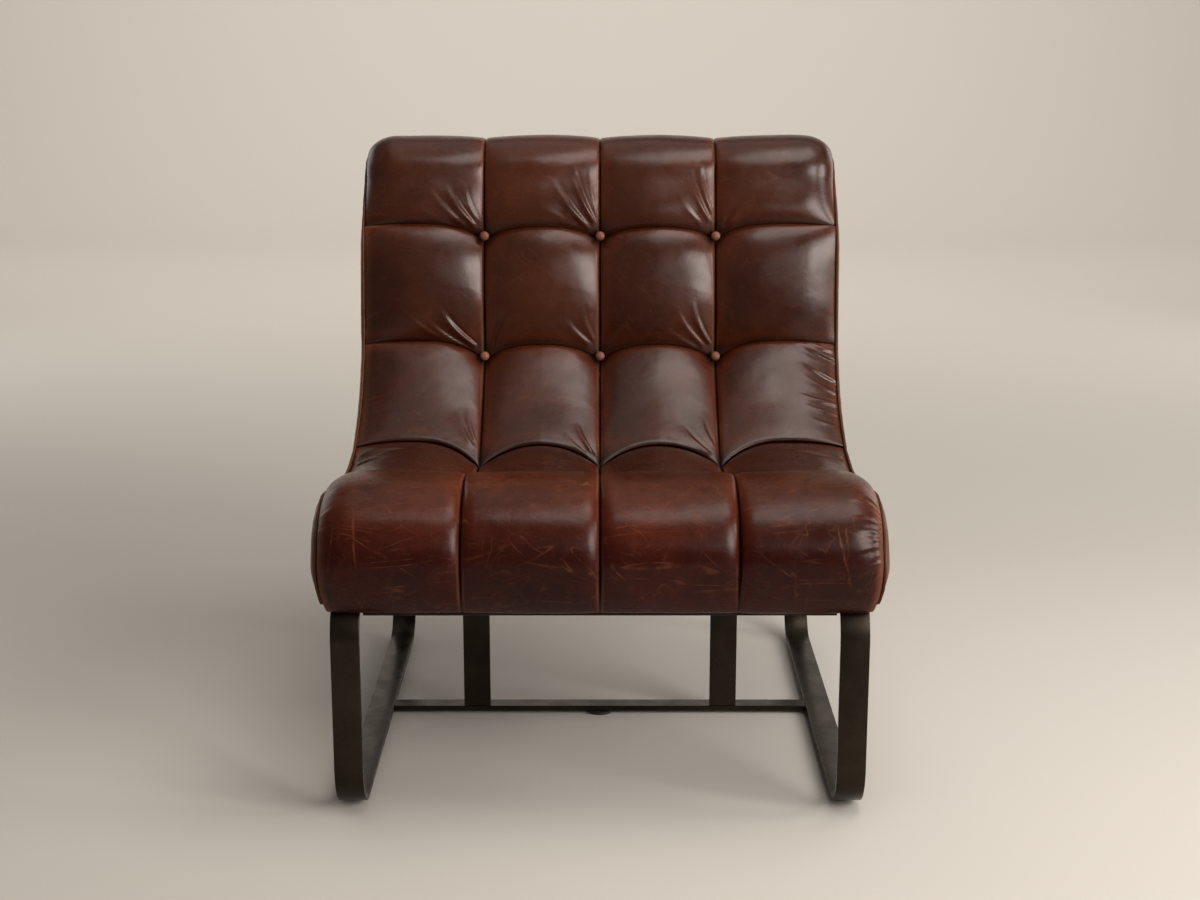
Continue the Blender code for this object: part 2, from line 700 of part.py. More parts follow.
def add_glide(name, centre, radius, plastic):
    height = GLIDE_HEIGHT - GAP
    profile = [(0, height), (radius, height), (radius, height / 2),
               (radius - GLIDE_TAPER, 0), (0, 0)]
    add_turned(name, profile, centre, plastic)


def add_bolts(steel):
    for side, label in ((-1, "left"), (1, "right")):
        for end, y in BOLT_PLACES.items():
            profile = [(0, BOLT_LENGTH), (BOLT_RADIUS, BOLT_LENGTH), (BOLT_RADIUS, 0),
                       (BOLT_HEAD_RADIUS, 0), (BOLT_HEAD_RADIUS, -BOLT_HEAD_HEIGHT / 2),
                       (BOLT_HEAD_RADIUS * 0.7, -BOLT_HEAD_HEIGHT), (0, -BOLT_HEAD_HEIGHT)]
            add_turned("bolt_" + end + "_" + label, profile,
                       (side * SLED_BAR_X, y, SLED_TOP - BAR_THICKNESS - GAP), steel)


def add_ply_side(name, side, timber):
    """A plywood side that follows the pads' underside and the outside back."""
    top = CUSHION_BASE - GAP
    line = [(FRONT_TIMBER, DECK), (FRONT_TIMBER, top)]
    start = ROW_THREE
    for step in range(PLY_STEPS + 1):
        length = start + (ROLL_INSIDE - start) * step / PLY_STEPS
        point = Vector(pad_base(length)) - SEAT_BACK.normal(length) * PLY_CLEARANCE
        line.append((point.x, max(point.y, top)))
    rear_top = rear_face(PLY_REAR_SHARE)
    rear_inset = OUTSIDE_BACK_THICKNESS + PLY_CLEARANCE
    line += [(rear_top.x - rear_inset, rear_top.y),
             (LEG_FACE + BACK_REAR_FOOT - rear_inset, DECK)]
    curve = bpy.data.curves.new(name, "CURVE")
    curve.dimensions = "2D"
    curve.fill_mode = "BOTH"
    curve.extrude = PLY_THICKNESS / 2
    spline = curve.splines.new("POLY")
    spline.points.add(len(line) - 1)
    for point, (y, z) in zip(spline.points, line):
        point.co = (y, z, 0, 1)
    spline.use_cyclic_u = True
    item = add_object(name, curve, timber)
    item.matrix_world = Matrix(((0, 0, 1, side * SLED_BAR_X), (1, 0, 0, 0),
                                (0, 1, 0, 0), (0, 0, 0, 1)))
    item = solid_from_curve(item)
    for y in BOLT_PLACES.values():
        drill(item, (side * SLED_BAR_X, y, DECK - CUT_OVERRUN), BOLT_RADIUS + BOLT_CLEARANCE,
              BOLT_LENGTH - BAR_THICKNESS + 2 * CUT_OVERRUN)


def add_frame(timber, wire, cloth):
    for side, label in ((-1, "left"), (1, "right")):
        add_ply_side("ply_side_" + label, side, timber)
    width = 2 * (PLY_INSIDE - GAP)
    low = DECK + DUST_COVER_THICKNESS + GAP + TIMBER_HEIGHT / 2
    add_box("front_timber", (width, TIMBER_DEPTH, TIMBER_HEIGHT),
            (0, FRONT_TIMBER + TIMBER_DEPTH / 2, low), timber, TIMBER_EDGE)
    add_box("rear_timber", (width, TIMBER_DEPTH, TIMBER_HEIGHT),
            (0, LEG_FACE + REAR_RAIL_SETBACK + TIMBER_DEPTH / 2, low), timber, TIMBER_EDGE)
    lumbar = Vector(pad_base(ROW_TWO - SCOOP_RISE * LUMBAR_SHARE))
    add_box("lumbar_timber", (width, TIMBER_HEIGHT, TIMBER_DEPTH),
            (0, lumbar.x + TIMBER_HEIGHT / 2 + LUMBAR_SETBACK, lumbar.y - TIMBER_DEPTH / 2),
            timber, TIMBER_EDGE)
    roll_inside = Vector(pad_base(ROW_END)).lerp(Vector(pad_base(ROLL_INSIDE)), 0.5)
    add_box("top_timber", (width, TOP_RAIL_DEPTH, TOP_RAIL_HEIGHT),
            (0, roll_inside.x, BODY_TOP - ROLL_THICKNESS - GAP - TOP_RAIL_HEIGHT / 2
             - TOP_RAIL_DROP), timber, TIMBER_EDGE)
    add_springs(wire)
    add_webs(cloth)
    start = FRONT_TIMBER
    end = LEG_FACE + BACK_REAR_FOOT - OUTSIDE_BACK_THICKNESS - GAP
    add_box("dust_cover", (width, end - start, DUST_COVER_THICKNESS),
            (0, (start + end) / 2, DECK + DUST_COVER_THICKNESS / 2), cloth)


def add_springs(wire):
    """Zigzag springs that rest on the front and rear timbers, side by side."""
    start = FRONT_TIMBER + TIMBER_DEPTH / 2
    end = LEG_FACE + REAR_RAIL_SETBACK + TIMBER_DEPTH / 2
    turns = max(int((end - start) / SPRING_PITCH), 2)
    for number in range(SPRING_COUNT):
        centre = PLY_INSIDE * (2 * number + 1 - SPRING_COUNT) / SPRING_COUNT
        route = [(centre, start)]
        for turn in range(1, turns):
            y = start + (end - start) * turn / turns
            swing = SPRING_WIDTH / 2 * (1 if turn % 2 else -1)
            half = (end - start) / turns * SPRING_CORNER_SHARE
            route += [(centre + swing, y - half), (centre + swing, y + half)]
        route.append((centre, end))
        add_wire("seat_spring_" + str(number + 1),
                 [(x, y, SPRING_LEVEL) for x, y in route], SPRING_WIRE, wire)


def add_wire(name, points, radius, material, resolution=1):
    curve = bpy.data.curves.new(name, "CURVE")
    curve.dimensions = "3D"
    curve.bevel_depth = radius
    curve.bevel_resolution = resolution
    curve.use_fill_caps = True
    spline = curve.splines.new("POLY")
    spline.points.add(len(points) - 1)
    for point, place in zip(spline.points, points):
        point.co = (*place, 1)
    return solid_from_curve(add_object(name, curve, material))


def add_webs(cloth):
    """Webbing across the back, between the plywood sides, just behind the pad."""
    for number in range(WEB_COUNT):
        length = ROW_TWO + (ROW_ONE - ROW_TWO) * (number - WEB_FIRST_SHARE) * WEB_STEP_SHARE
        place = Vector(pad_base(length))
        normal = SEAT_BACK.normal(length)
        centre = place - normal * (WEB_THICKNESS / 2 + WEB_CLEARANCE)
        item = add_box("back_web_" + str(number + 1),
                       (2 * (PLY_INSIDE - GAP), WEB_THICKNESS, WEB_WIDTH),
                       (0, centre.x, centre.y), cloth)
        item.rotation_euler = (math.atan2(-normal.y, -normal.x), 0, 0)


def add_buttons(leather):
    """Six covered buttons where the cross seams of two rows meet the inner seams."""
    for row, length in ((1, ROW_ONE), (2, ROW_TWO)):
        place, normal = SEAT_BACK.at(length), SEAT_BACK.normal(length)
        for column, x in enumerate(seams_across()[1:-1], 1):
            sunk = panel_height(x, 1, CUSHION_CROWN)
            profile = [(0, BUTTON_HEIGHT), (BUTTON_RADIUS * 0.6, BUTTON_HEIGHT * 0.85),
                       (BUTTON_RADIUS * 0.93, BUTTON_HEIGHT * 0.5), (BUTTON_RADIUS, 0),
                       (BUTTON_RADIUS * 0.8, -BUTTON_HEIGHT * 0.3),
                       (BUTTON_SHANK, -BUTTON_HEIGHT * 0.3),
                       (BUTTON_SHANK, SHANK_CLEARANCE - BUTTON_SEAT),
                       (0, SHANK_CLEARANCE - BUTTON_SEAT)]
            name = "button_" + str(row) + "_" + str(column)
            seat = place + normal * (sunk + BUTTON_SEAT)
            item = add_turned(name, profile, (x, *seat), leather, BUTTON_STEPS)
            item.rotation_euler = (math.atan2(-normal.x, normal.y), 0, 0)


def stand_off(line, distance):
    """The line moved outwards by one distance, with its corners mitred."""
    moved = []
    for index, point in enumerate(line):
        before = (point - line[index - 1]).normalized() if index else None
        after = (line[index + 1] - point).normalized() if index < len(line) - 1 else before
        before = before or after
        along = (before + after).normalized()
        stretch = distance / max(along.dot(after), 0.5)
        moved.append(point + Vector((-along.y, along.x)) * stretch)
    return moved


def add_welt(name, side, leather):
    """The folded seam that runs along the front edge of a side panel."""
    roll, rise = side_front_line()
    line = [Vector(point) for point in roll + rise]
    x = side * (BODY_HALF + GAP + SIDE_THICKNESS / 2)
    points = [(x, *place) for place in stand_off(line, WELT_RADIUS + WELT_CLEARANCE)]
    add_wire(name, points, WELT_RADIUS, leather)


def main():
    clear_scene()
    steel = make_material("dark_bronze_steel", (0.035, 0.030, 0.024), 0.38, 0.85)
    plastic = make_material("black_plastic", (0.02, 0.02, 0.02), 0.6)
    leather = make_material("brown_leather", (0.13, 0.045, 0.022), 0.36)
    edge_leather = make_material("rubbed_leather", (0.32, 0.12, 0.04), 0.4)
    timber = make_material("plywood", (0.62, 0.46, 0.28), 0.7)
    wire = make_material("spring_steel", (0.35, 0.35, 0.36), 0.35, 1.0)
    cloth = make_material("black_cambric", (0.03, 0.03, 0.03), 0.9)
    add_base(steel)
    add_glides(plastic)
    add_bolts(wire)
    add_frame(timber, wire, cloth)
    loft_across("front_bolster", bolster_section, leather)
    loft_across("seat_cushion", seat_section, leather)
    loft_across("back_cushion", back_section, leather)
    loft_across("outside_back_panel", outside_back_section, leather)
    for side, label in ((-1, "left"), (1, "right")):
        side_panel("side_panel_" + label, side, leather)
        add_welt("welt_" + label, side, edge_leather)
    add_buttons(edge_leather)


main()
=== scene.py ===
"""Finished look of a leather slipper chair: a quilted, buttoned seat and back over a
rolled front, on a base of bent flat bar. Lengths are in metres, +Z is up and the sitter
faces -Y."""
import math

import bpy
import numpy as np
from bpy.props import FloatProperty, FloatVectorProperty, PointerProperty
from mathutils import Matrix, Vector, noise


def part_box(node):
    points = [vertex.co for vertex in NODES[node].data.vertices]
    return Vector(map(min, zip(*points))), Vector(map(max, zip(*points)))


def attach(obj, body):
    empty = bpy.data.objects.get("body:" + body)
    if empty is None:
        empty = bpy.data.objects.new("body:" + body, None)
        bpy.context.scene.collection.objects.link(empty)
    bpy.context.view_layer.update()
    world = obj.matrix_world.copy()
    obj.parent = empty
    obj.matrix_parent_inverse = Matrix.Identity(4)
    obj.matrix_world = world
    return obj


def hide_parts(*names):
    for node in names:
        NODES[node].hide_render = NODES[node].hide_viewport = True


bl_info = {
    "name": "Leather slipper chair",
    "version": (1, 0, 0),
    "blender": (4, 5, 0),
    "location": "View3D > Sidebar > Chair",
    "description": "Upholsters and finishes the slipper chair on its packed frame",
    "category": "Object",
}

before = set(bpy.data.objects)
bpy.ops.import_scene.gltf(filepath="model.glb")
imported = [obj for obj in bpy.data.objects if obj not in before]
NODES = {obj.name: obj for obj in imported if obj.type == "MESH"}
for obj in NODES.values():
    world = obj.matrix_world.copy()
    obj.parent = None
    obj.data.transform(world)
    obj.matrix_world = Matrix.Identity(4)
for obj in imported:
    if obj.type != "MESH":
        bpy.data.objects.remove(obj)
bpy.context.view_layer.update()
MM = 0.001

# Heights and places read from the packed frame
SLED_LOW, SLED_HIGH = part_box("sled_left")
LEG_FACE = SLED_LOW[1]
SLED_TOP = SLED_HIGH[2]

# Sizes that several pieces share
BAY_COUNT = 4
FIT = 0.3 * MM           # between the leather and what it lies against
SEAM_HALF = 0.7 * MM     # half of the gap between seat and back
LIP = 6 * MM             # round of the leather's edge where it goes down into a seam
HIDDEN = 30 * MM         # how far from seam and tuft the hidden points are said to be
FAR = 1.0                # distance to a seam, fold or tuft where there is none
ROLL_WALL = 67 * MM      # the front roll's rear wall, behind the front legs' faces
HEM = 9 * MM             # how far the outside back's hem is from its edge
BACK_THICKNESS = 8 * MM  # thickness of the outside back
BUTTON_RISE = 6 * MM     # how far a button's top is above its seat
CALM = 12 * MM           # the leather's unevenness fades out this close to its seams
BAR = 8 * MM             # thickness of the flat bar
BEND = 66 * MM           # outer radius of its bends
BAR_EASE = 1.1 * MM      # round of its edges

# The front roll's ends are drawn in below this height over the top bars and ahead of this
# place behind the legs' faces, growing over this reach to this depth
TUCK_HEIGHT, TUCK_END, TUCK_REACH, TUCK_DEPTH = 44 * MM, 130 * MM, 70 * MM, 12 * MM

# Knots of the top roll, and steps and smoothing rounds of the lines in the side view
ROLL_KNOTS, KNOT_STEPS = 8, 40
LINE_STEPS, LINE_SMOOTHING = 700, 24
EDGE_STEPS, EDGE_SMOOTHING = 460, 9
PANEL_STEPS, REAR_STEPS = 320, 600
ROLL_EDGE_STEPS, DECK_STEPS = 120, 60
# Steps of the meshes: along or across a piece first, then round it
PAD_STEPS = 24
PANEL_ROWS = 64
FOLDED_STEPS, FOLDED_SMOOTHING, FOLDED_SIDES = 520, 4, 18
BUTTON_STEPS, BUTTON_SIDES = 26, 40
BACK_COLUMNS, BACK_ROWS = 150, 110
BEND_STEPS, BAR_CORNER_STEPS = 25, 4


def length_of(millimetres, name, description):
    """A length that a user can change, given in millimetres"""
    return FloatProperty(name=name, description=description, default=millimetres * MM,
                         subtype="DISTANCE", unit="LENGTH", precision=4)


def colour_of(rgb, name, description):
    """A colour that a user can change"""
    return FloatVectorProperty(name=name, description=description, default=rgb,
                               size=3, min=0.0, max=1.0, subtype="COLOR")


class ChairBodySizes(bpy.types.PropertyGroup):
    """The leather body's sizes in the side view and across the bays"""
    bay_width: length_of(179, "Bay", "Between two seams that run front to back")
    end_bay_extra: length_of(6, "End bay extra", "Each end bay is this much wider")
    bolster_overhang: length_of(35, "Roll overhang", "How far the front roll passes the legs")
    bolster_depth: length_of(220, "Roll depth", "Depth of the front roll")
    bolster_drop: length_of(26, "Roll drop", "How far the roll hangs below the top bars")
    bolster_height: length_of(167, "Roll height", "Height of the front roll")
    bolster_crown: length_of(6, "Roll crown", "How far each bay of the roll stands out")
    bolster_end_drop: length_of(28, "Roll end drop", "How much smaller the roll is at its ends")
    seat_depth: length_of(400, "Seat depth", "Leg face to the seam between seat and back")
    seat_thickness: length_of(84, "Seat thickness", "Top bars to that seam")
    seat_dish: length_of(12, "Seat dish", "How far the seat dips ahead of it")
    scoop_depth: length_of(165, "Scoop depth", "That seam back to the lower buttons")
    scoop_rise: length_of(126, "Scoop rise", "That seam up to the lower buttons")
    row_lean: length_of(33, "Row lean", "Lower buttons back to the upper ones")
    row_rise: length_of(183, "Row rise", "Lower buttons up to the upper ones")
    body_height: length_of(536, "Body height", "Top bars to the top seams of the back")
    top_thickness: length_of(116, "Top thickness", "Thickness of the back's top roll")
    top_lean: length_of(24, "Top lean", "Upper buttons to the front of the top roll")
    top_roll_height: length_of(60, "Top roll height", "Height of the top roll's round")
    top_end_drop: length_of(28, "Top end drop", "How much rounder the top corners are")
    rear_foot: length_of(672, "Rear foot", "Leg face to the foot of the outside back")
    cushion_base: length_of(345.9, "Cushion base", "Height of the cushions' underside")
    cushion_thickness: length_of(45, "Pad", "Thickness of the back's padding")
    roll_thickness: length_of(25, "Roll pad", "Thickness of the padding on the top roll")


class ChairQuiltSizes(bpy.types.PropertyGroup):
    """How the leather is drawn in by its seams and buttons"""
    crown: length_of(29, "Crown", "How far each quilted panel stands out")
    seam_dip: length_of(11, "Seam dip", "How deep a long seam draws the leather in")
    seam_reach: length_of(9.5, "Seam reach", "How far from a long seam the leather rounds over")
    fold_dip: length_of(12, "Fold dip", "How deep a cross fold draws the leather in")
    fold_reach: length_of(8, "Fold reach", "How far above a cross fold the leather rounds over")
    fold_rise: length_of(20, "Fold rise", "How far below a cross fold the leather rounds over")
    fold_lap: length_of(5, "Fold lap", "How far the upper panel laps over the lower one")
    tuft_dip: length_of(13, "Tuft dip", "How deep a button draws the leather in")
    tuft_reach: length_of(33, "Tuft reach", "How far that dimple spreads")
    arch_one: length_of(15, "Upper arch", "Rise of the upper buttons' fold between them")
    arch_two: length_of(19.5, "Lower arch", "Rise of the lower buttons' fold between them")
    arch_three: length_of(29, "Seat arch", "Rise of the fold between seat and back")
    column_step: length_of(2.4, "Column step", "Spacing of the mesh across the chair")
    row_step: length_of(2.6, "Row step", "Spacing of the mesh along the leather")


class ChairLeatherLook(bpy.types.PropertyGroup):
    """Colours and wear of the leather"""
    # The deep colour is painted shade, laid in seams, folds and round tufts
    deep: colour_of((0.004, 0.0012, 0.0008), "Deep", "Colour in the folds")
    body: colour_of((0.027, 0.0058, 0.0021), "Body", "Main colour of the leather")
    pulled: colour_of((0.066, 0.0160, 0.0054), "Pulled", "Colour where the wax has moved")
    burnt: colour_of((0.058, 0.0092, 0.0020), "Burnt", "Colour beside seams and round buttons")
    rubbed: colour_of((0.27, 0.092, 0.036), "Rubbed", "Colour of rubbed edges and scratches")
    button: colour_of((0.15, 0.056, 0.036), "Button", "Colour of the buttons' leather")


class ChairBaseLook(bpy.types.PropertyGroup):
    """Colours of the steel base and what is on it"""
    bronze: colour_of((0.0200, 0.0140, 0.0090), "Bronze", "Colour of the steel's finish")
    bright: colour_of((0.52, 0.47, 0.40), "Bright", "Colour of bare steel and screw heads")
    plastic: colour_of((0.012, 0.012, 0.012), "Glides", "Colour of the glides")
    cloth: colour_of((0.018, 0.017, 0.016), "Cloth", "Colour of the cloth underneath")
    timber: colour_of((0.52, 0.36, 0.20), "Timber", "Colour of the inner timber")


class ChairStageSettings(bpy.types.PropertyGroup):
    """Floor, lights and camera"""
    floor: colour_of((0.43, 0.395, 0.35), "Floor", "Colour of the floor and backdrop")
    camera_back: FloatProperty(name="Camera distance", default=2.388, unit="LENGTH",
                               description="Leg face to the camera, along the floor")
    camera_height: FloatProperty(name="Camera height", default=1.081, unit="LENGTH",
                                 description="Height of the camera")
    camera_pitch: FloatProperty(name="Camera pitch", default=math.radians(13.53),
                                subtype="ANGLE", description="How far the camera looks down")
    camera_lens: FloatProperty(name="Lens", default=57.99, min=10.0,
                               description="Focal length in millimetres")


def running_length(points):
    """How far along the line through these points each of them lies"""
    return np.concatenate([[0.0], np.cumsum(np.hypot(*np.diff(points, axis=0).T))])


def even_line(points, count, smooth):
    """The line through these points with count even steps, its small steps smoothed away"""
    for _ in range(2):
        lengths = running_length(points)
        even = np.linspace(0, lengths[-1], count)
        points = np.stack([np.interp(even, lengths, points[:, axis]) for axis in (0, 1)], axis=-1)
        for _ in range(smooth):
            points[1:-1] = (points[:-2] + 2 * points[1:-1] + points[2:]) / 4
    return points


class SideLine:
    """A line in the side view, read at any length along it"""

    def __init__(self, points):
        self.points, self.lengths = points, running_length(points)
        self.total = self.lengths[-1]

    @classmethod
    def through(cls, knots, drop=0, smooth=0):
        """A curve through these knots. Its last pieces are dropped, and small steps smoothed."""
        knots = np.array(knots, dtype=float)
        ends = np.vstack([2 * knots[0] - knots[1], knots, 2 * knots[-1] - knots[-2]])
        t = np.linspace(0, 1, KNOT_STEPS, endpoint=False)[:, None]
        pieces = []
        for a, b, c, d in zip(ends, ends[1:], ends[2:], ends[3:]):
            pieces.append(0.5 * (2 * b + (c - a) * t + (2 * a - 5 * b + 4 * c - d) * t ** 2
                                 + (3 * b - a - 3 * c + d) * t ** 3))
        points = np.vstack(pieces + [knots[-1:]])
        points = points[:len(points) - drop * KNOT_STEPS]
        return cls(even_line(points, LINE_STEPS, smooth) if smooth else points)

    def at(self, length):
        """The place at each length"""
        return np.stack([np.interp(length, self.lengths, self.points[:, axis])
                         for axis in (0, 1)], axis=-1)

    def normal(self, length, reach=1.5 * MM):
        """Square to the line at each length, upwards where it runs to the rear"""
        low = np.clip(length - reach, 0, self.total)
        high = np.clip(length + reach, 0, self.total)
        along = self.at(high) - self.at(low)
        along /= np.linalg.norm(along, axis=-1, keepdims=True)
        return np.stack([-along[..., 1], along[..., 0]], axis=-1)

    def raised(self, length, lift):
        """The place at each length, moved by lift along the normal"""
        return self.at(length) + self.normal(length) * lift[..., None]

    def nearest(self, point):
        """The length at which the line passes closest to a point"""
        return self.lengths[np.argmin(np.hypot(*(self.points - point).T))]


# The front roll from its rear seam round to its heel, as shares of its depth and height
ROLL_OUTLINE = ((0.0, 0.60), (0.14, 0.90), (0.40, 1.0), (0.68, 0.97), (0.90, 0.80), (1.0, 0.50),
                (0.96, 0.22), (0.885, 0.04), (0.83, 0.01))


class BodyShape:
    """The side view's lines, the seams across the width and the quilting's depth"""

    def __init__(self, sizes, quilt):
        self.sizes, self.quilt = sizes, quilt
        self.seat_line = SLED_TOP + sizes.seat_thickness
        self.seat_back = self.seat_and_back_line()
        self.bolster = self.bolster_line()
        row_two, row_one = self.button_rows()
        self.row_three = self.seat_back.nearest(self.place(sizes.seat_depth, self.seat_line))
        self.row_two = self.seat_back.nearest(self.place(*row_two))
        self.row_one = self.seat_back.nearest(self.place(*row_one))
        self.row_end = self.seat_back.total
        half = sizes.bay_width * BAY_COUNT / 2 + sizes.end_bay_extra
        inner = [sizes.bay_width * (number - BAY_COUNT / 2) for number in range(1, BAY_COUNT)]
        self.seams = np.array([-half] + inner + [half])
        self.half = half

    @staticmethod
    def place(out, up):
        """A place in the side view, from how far it is behind the front legs' faces"""
        return (LEG_FACE + out, up)

    def button_rows(self):
        """Where the lower and the upper row of buttons lie in the side view"""
        s = self.sizes
        lower = (s.seat_depth + s.scoop_depth, self.seat_line + s.scoop_rise)
        return lower, (lower[0] + s.row_lean, lower[1] + s.row_rise)

    def seat_and_back_line(self):
        """The line under the leather from the front roll's seam to the outside back"""
        s = self.sizes
        row_two, row_one = self.button_rows()
        roll_y = row_one[0] + s.top_lean + s.top_thickness / 2
        roll_z = SLED_TOP + s.body_height - s.top_roll_height
        seam_y = s.bolster_depth - s.bolster_overhang
        knots = [(seam_y, self.seat_line),
                 (seam_y + (s.seat_depth - seam_y) * 0.5, self.seat_line - s.seat_dish),
                 (s.seat_depth, self.seat_line),
                 (s.seat_depth + s.scoop_depth * 0.6, self.seat_line + s.scoop_rise * 0.37),
                 row_two,
                 (row_two[0] + s.row_lean * 0.6, row_two[1] + s.row_rise * 0.5),
                 row_one]
        for step in range(ROLL_KNOTS + 2):
            turn = math.pi * step / ROLL_KNOTS
            knots.append((roll_y - math.cos(turn) * s.top_thickness / 2,
                          roll_z + math.sin(turn) * s.top_roll_height))
        return SideLine.through([self.place(*knot) for knot in knots], drop=1,
                                smooth=LINE_SMOOTHING)

    def bolster_line(self):
        """The front roll's line from its rear seam over the front and round to its heel"""
        s = self.sizes
        rear = s.bolster_depth - s.bolster_overhang
        face = -s.bolster_overhang + s.bolster_crown
        base = SLED_TOP - s.bolster_drop
        top = base + s.bolster_height - s.bolster_crown
        bottom = base + s.bolster_crown * 0.4
        knots = [(rear - (rear - face) * ahead, bottom + (top - bottom) * up)
                 for ahead, up in ROLL_OUTLINE]
        knots[0] = (rear, self.seat_line)
        return SideLine.through([self.place(*knot) for knot in knots])

    def bay(self, x):
        """The bay that x lies in, its place there from -1 to 1, and how near a side seam"""
        index = np.clip(np.searchsorted(self.seams, x, side="right") - 1, 0, BAY_COUNT - 1)
        left, right = self.seams[index], self.seams[index + 1]
        place = 2 * (x - left) / (right - left) - 1
        outer = ((index == 0) & (place < 0)) | ((index == BAY_COUNT - 1) & (place > 0))
        return index, place, np.where(outer, np.abs(place), 0.0)

    def arched(self, x, arch):
        """A cross fold's rise at x: it falls to the buttons. In the end bays it rises
        further, and falls less to the sides."""
        index, place, edge = self.bay(x)
        end_bay = (index == 0) | (index == BAY_COUNT - 1)
        fall = np.abs(place) ** 2.4 * np.where(edge > 0, 0.26, 1.0)
        return arch * np.where(end_bay, 1.32, 1.0) * (1 - fall)

    def round_off(self, x):
        """The fall of a quarter round at each end of the width"""
        past = np.clip((self.bay(x)[2] - 0.5) / 0.5, 0, 1)
        return 1 - np.sqrt(np.maximum(1 - past ** 2, 0))

    def corner_drop(self, x, length):
        """How far the top roll's corners fall away"""
        over = (length - self.row_one) / (self.row_end - self.row_one)
        over = np.clip(np.minimum(over * 3, (1 - over) * 5), 0, 1)
        return self.sizes.top_end_drop * self.round_off(x) * over

    def seam_distance(self, x):
        """How far x is from the nearest seam between two bays"""
        inner = self.seams[1:-1]
        return np.min(np.abs(np.asarray(x)[..., None] - inner), axis=-1)


# Where the mesh's lines beside a seam lie, in millimetres from each to the next
SEAM_STEPS = (0, 0.35, 0.6, 0.9, 1.3, 1.7, 2.1)


def spaced(length, step, first=True, last=True):
    """Places from 0 to length, step apart and closer together at the ends that have a seam"""
    close = np.cumsum(np.array(SEAM_STEPS) * MM)
    low = close if first else close[:1]
    high = length - close[::-1] if last else np.array([length])
    count = max(int(round((high[0] - low[-1]) / step)), 2)
    middle = np.linspace(low[-1], high[0], count + 1)[1:-1]
    return np.concatenate([low, middle, high]) / length


def lip(distance, radius):
    """The drop of a leather edge that rolls over into a seam"""
    inside = radius - np.clip(distance, 0, radius)
    return radius - np.sqrt(np.maximum(radius ** 2 - inside ** 2, 0))


def pleat_lift(x, length, pleats):
    """Lift of folds that each run from one place to another, given as
    (x, length, x, length, height, width) in millimetres."""
    lift = np.zeros(np.broadcast(x, length).shape)
    for x0, l0, x1, l1, height, width in pleats:
        start = np.array((x0, l0)) * MM
        run = np.array((x1, l1)) * MM - start
        reach = np.hypot(*run)
        along = ((x - start[0]) * run[0] + (length - start[1]) * run[1]) / reach ** 2
        across = ((x - start[0]) * run[1] - (length - start[1]) * run[0]) / reach
        # Each fold is slightly bent, widens along its run and fades out towards its end
        inside = np.clip(along, 0, 1)
        across = across + reach * (0.05 * np.sin(inside * math.pi) - 0.01)
        spread = width * MM * (0.55 + 0.75 * inside)
        window = np.where(along > 0, 1 - np.exp(-inside / 0.07), 0) * (1 - inside) ** 1.1
        # A ridge that is steeper on one side, and a valley beside it on that side
        lean = np.where(across > 0, 0.75, 1.45) * spread
        ridge = np.exp(-(across / lean) ** 2)
        valley = np.exp(-((across - 1.25 * spread) / (0.42 * spread)) ** 2)
        lift += 2.1 * height * MM * window * (ridge - 0.5 * valley)
    return lift


def moved(pleats, x, length):
    """These pleats, moved across and along the leather by millimetres"""
    return [(x0 + x, l0 + length, x1 + x, l1 + length, height, width)
            for x0, l0, x1, l1, height, width in pleats]


def drift(points, scale, seed):
    """Slow unevenness, from -1 to 1, at each point"""
    flat = points.reshape(-1, points.shape[-1])
    values = [noise.noise(Vector((p[0] / scale, p[-2] / scale, p[-1] / scale + seed)))
              for p in flat]
    return np.array(values).reshape(points.shape[:-1])


def choose_none():
    """Leaves edit mode and deselects everything"""
    if bpy.context.object and bpy.context.object.mode != "OBJECT":
        bpy.ops.object.mode_set(mode="OBJECT")
    bpy.ops.object.select_all(action="DESELECT")


def edit(item, *steps):
    """Runs edit-mode steps on one object"""
    choose_none()
    bpy.context.view_layer.objects.active = item
    item.select_set(True)
    bpy.ops.object.mode_set(mode="EDIT")
    for step in steps:
        step()
    bpy.ops.object.mode_set(mode="OBJECT")


def select_where(item, kind, test):
    """Selects only the vertices, edges or faces that pass a test, in edit mode's next step"""
    choose_none()
    mesh = item.data
    for part in (mesh.vertices, mesh.edges, mesh.polygons):
        part.foreach_set("select", [False] * len(part))
    for part in getattr(mesh, kind):
        part.select = bool(test(part))


def finished(item, material, body="root", nodes=(), angle=180):
    """Gives a finished piece its shading, its material and its place in the frame"""
    choose_none()
    bpy.context.view_layer.objects.active = item
    item.select_set(True)
    bpy.ops.object.transform_apply(location=True, rotation=True, scale=True)
    bpy.ops.object.shade_smooth_by_angle(angle=math.radians(angle))
    item.data.materials.clear()
    item.data.materials.append(material)
    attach(item, body)
    if nodes:
        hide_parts(*nodes)


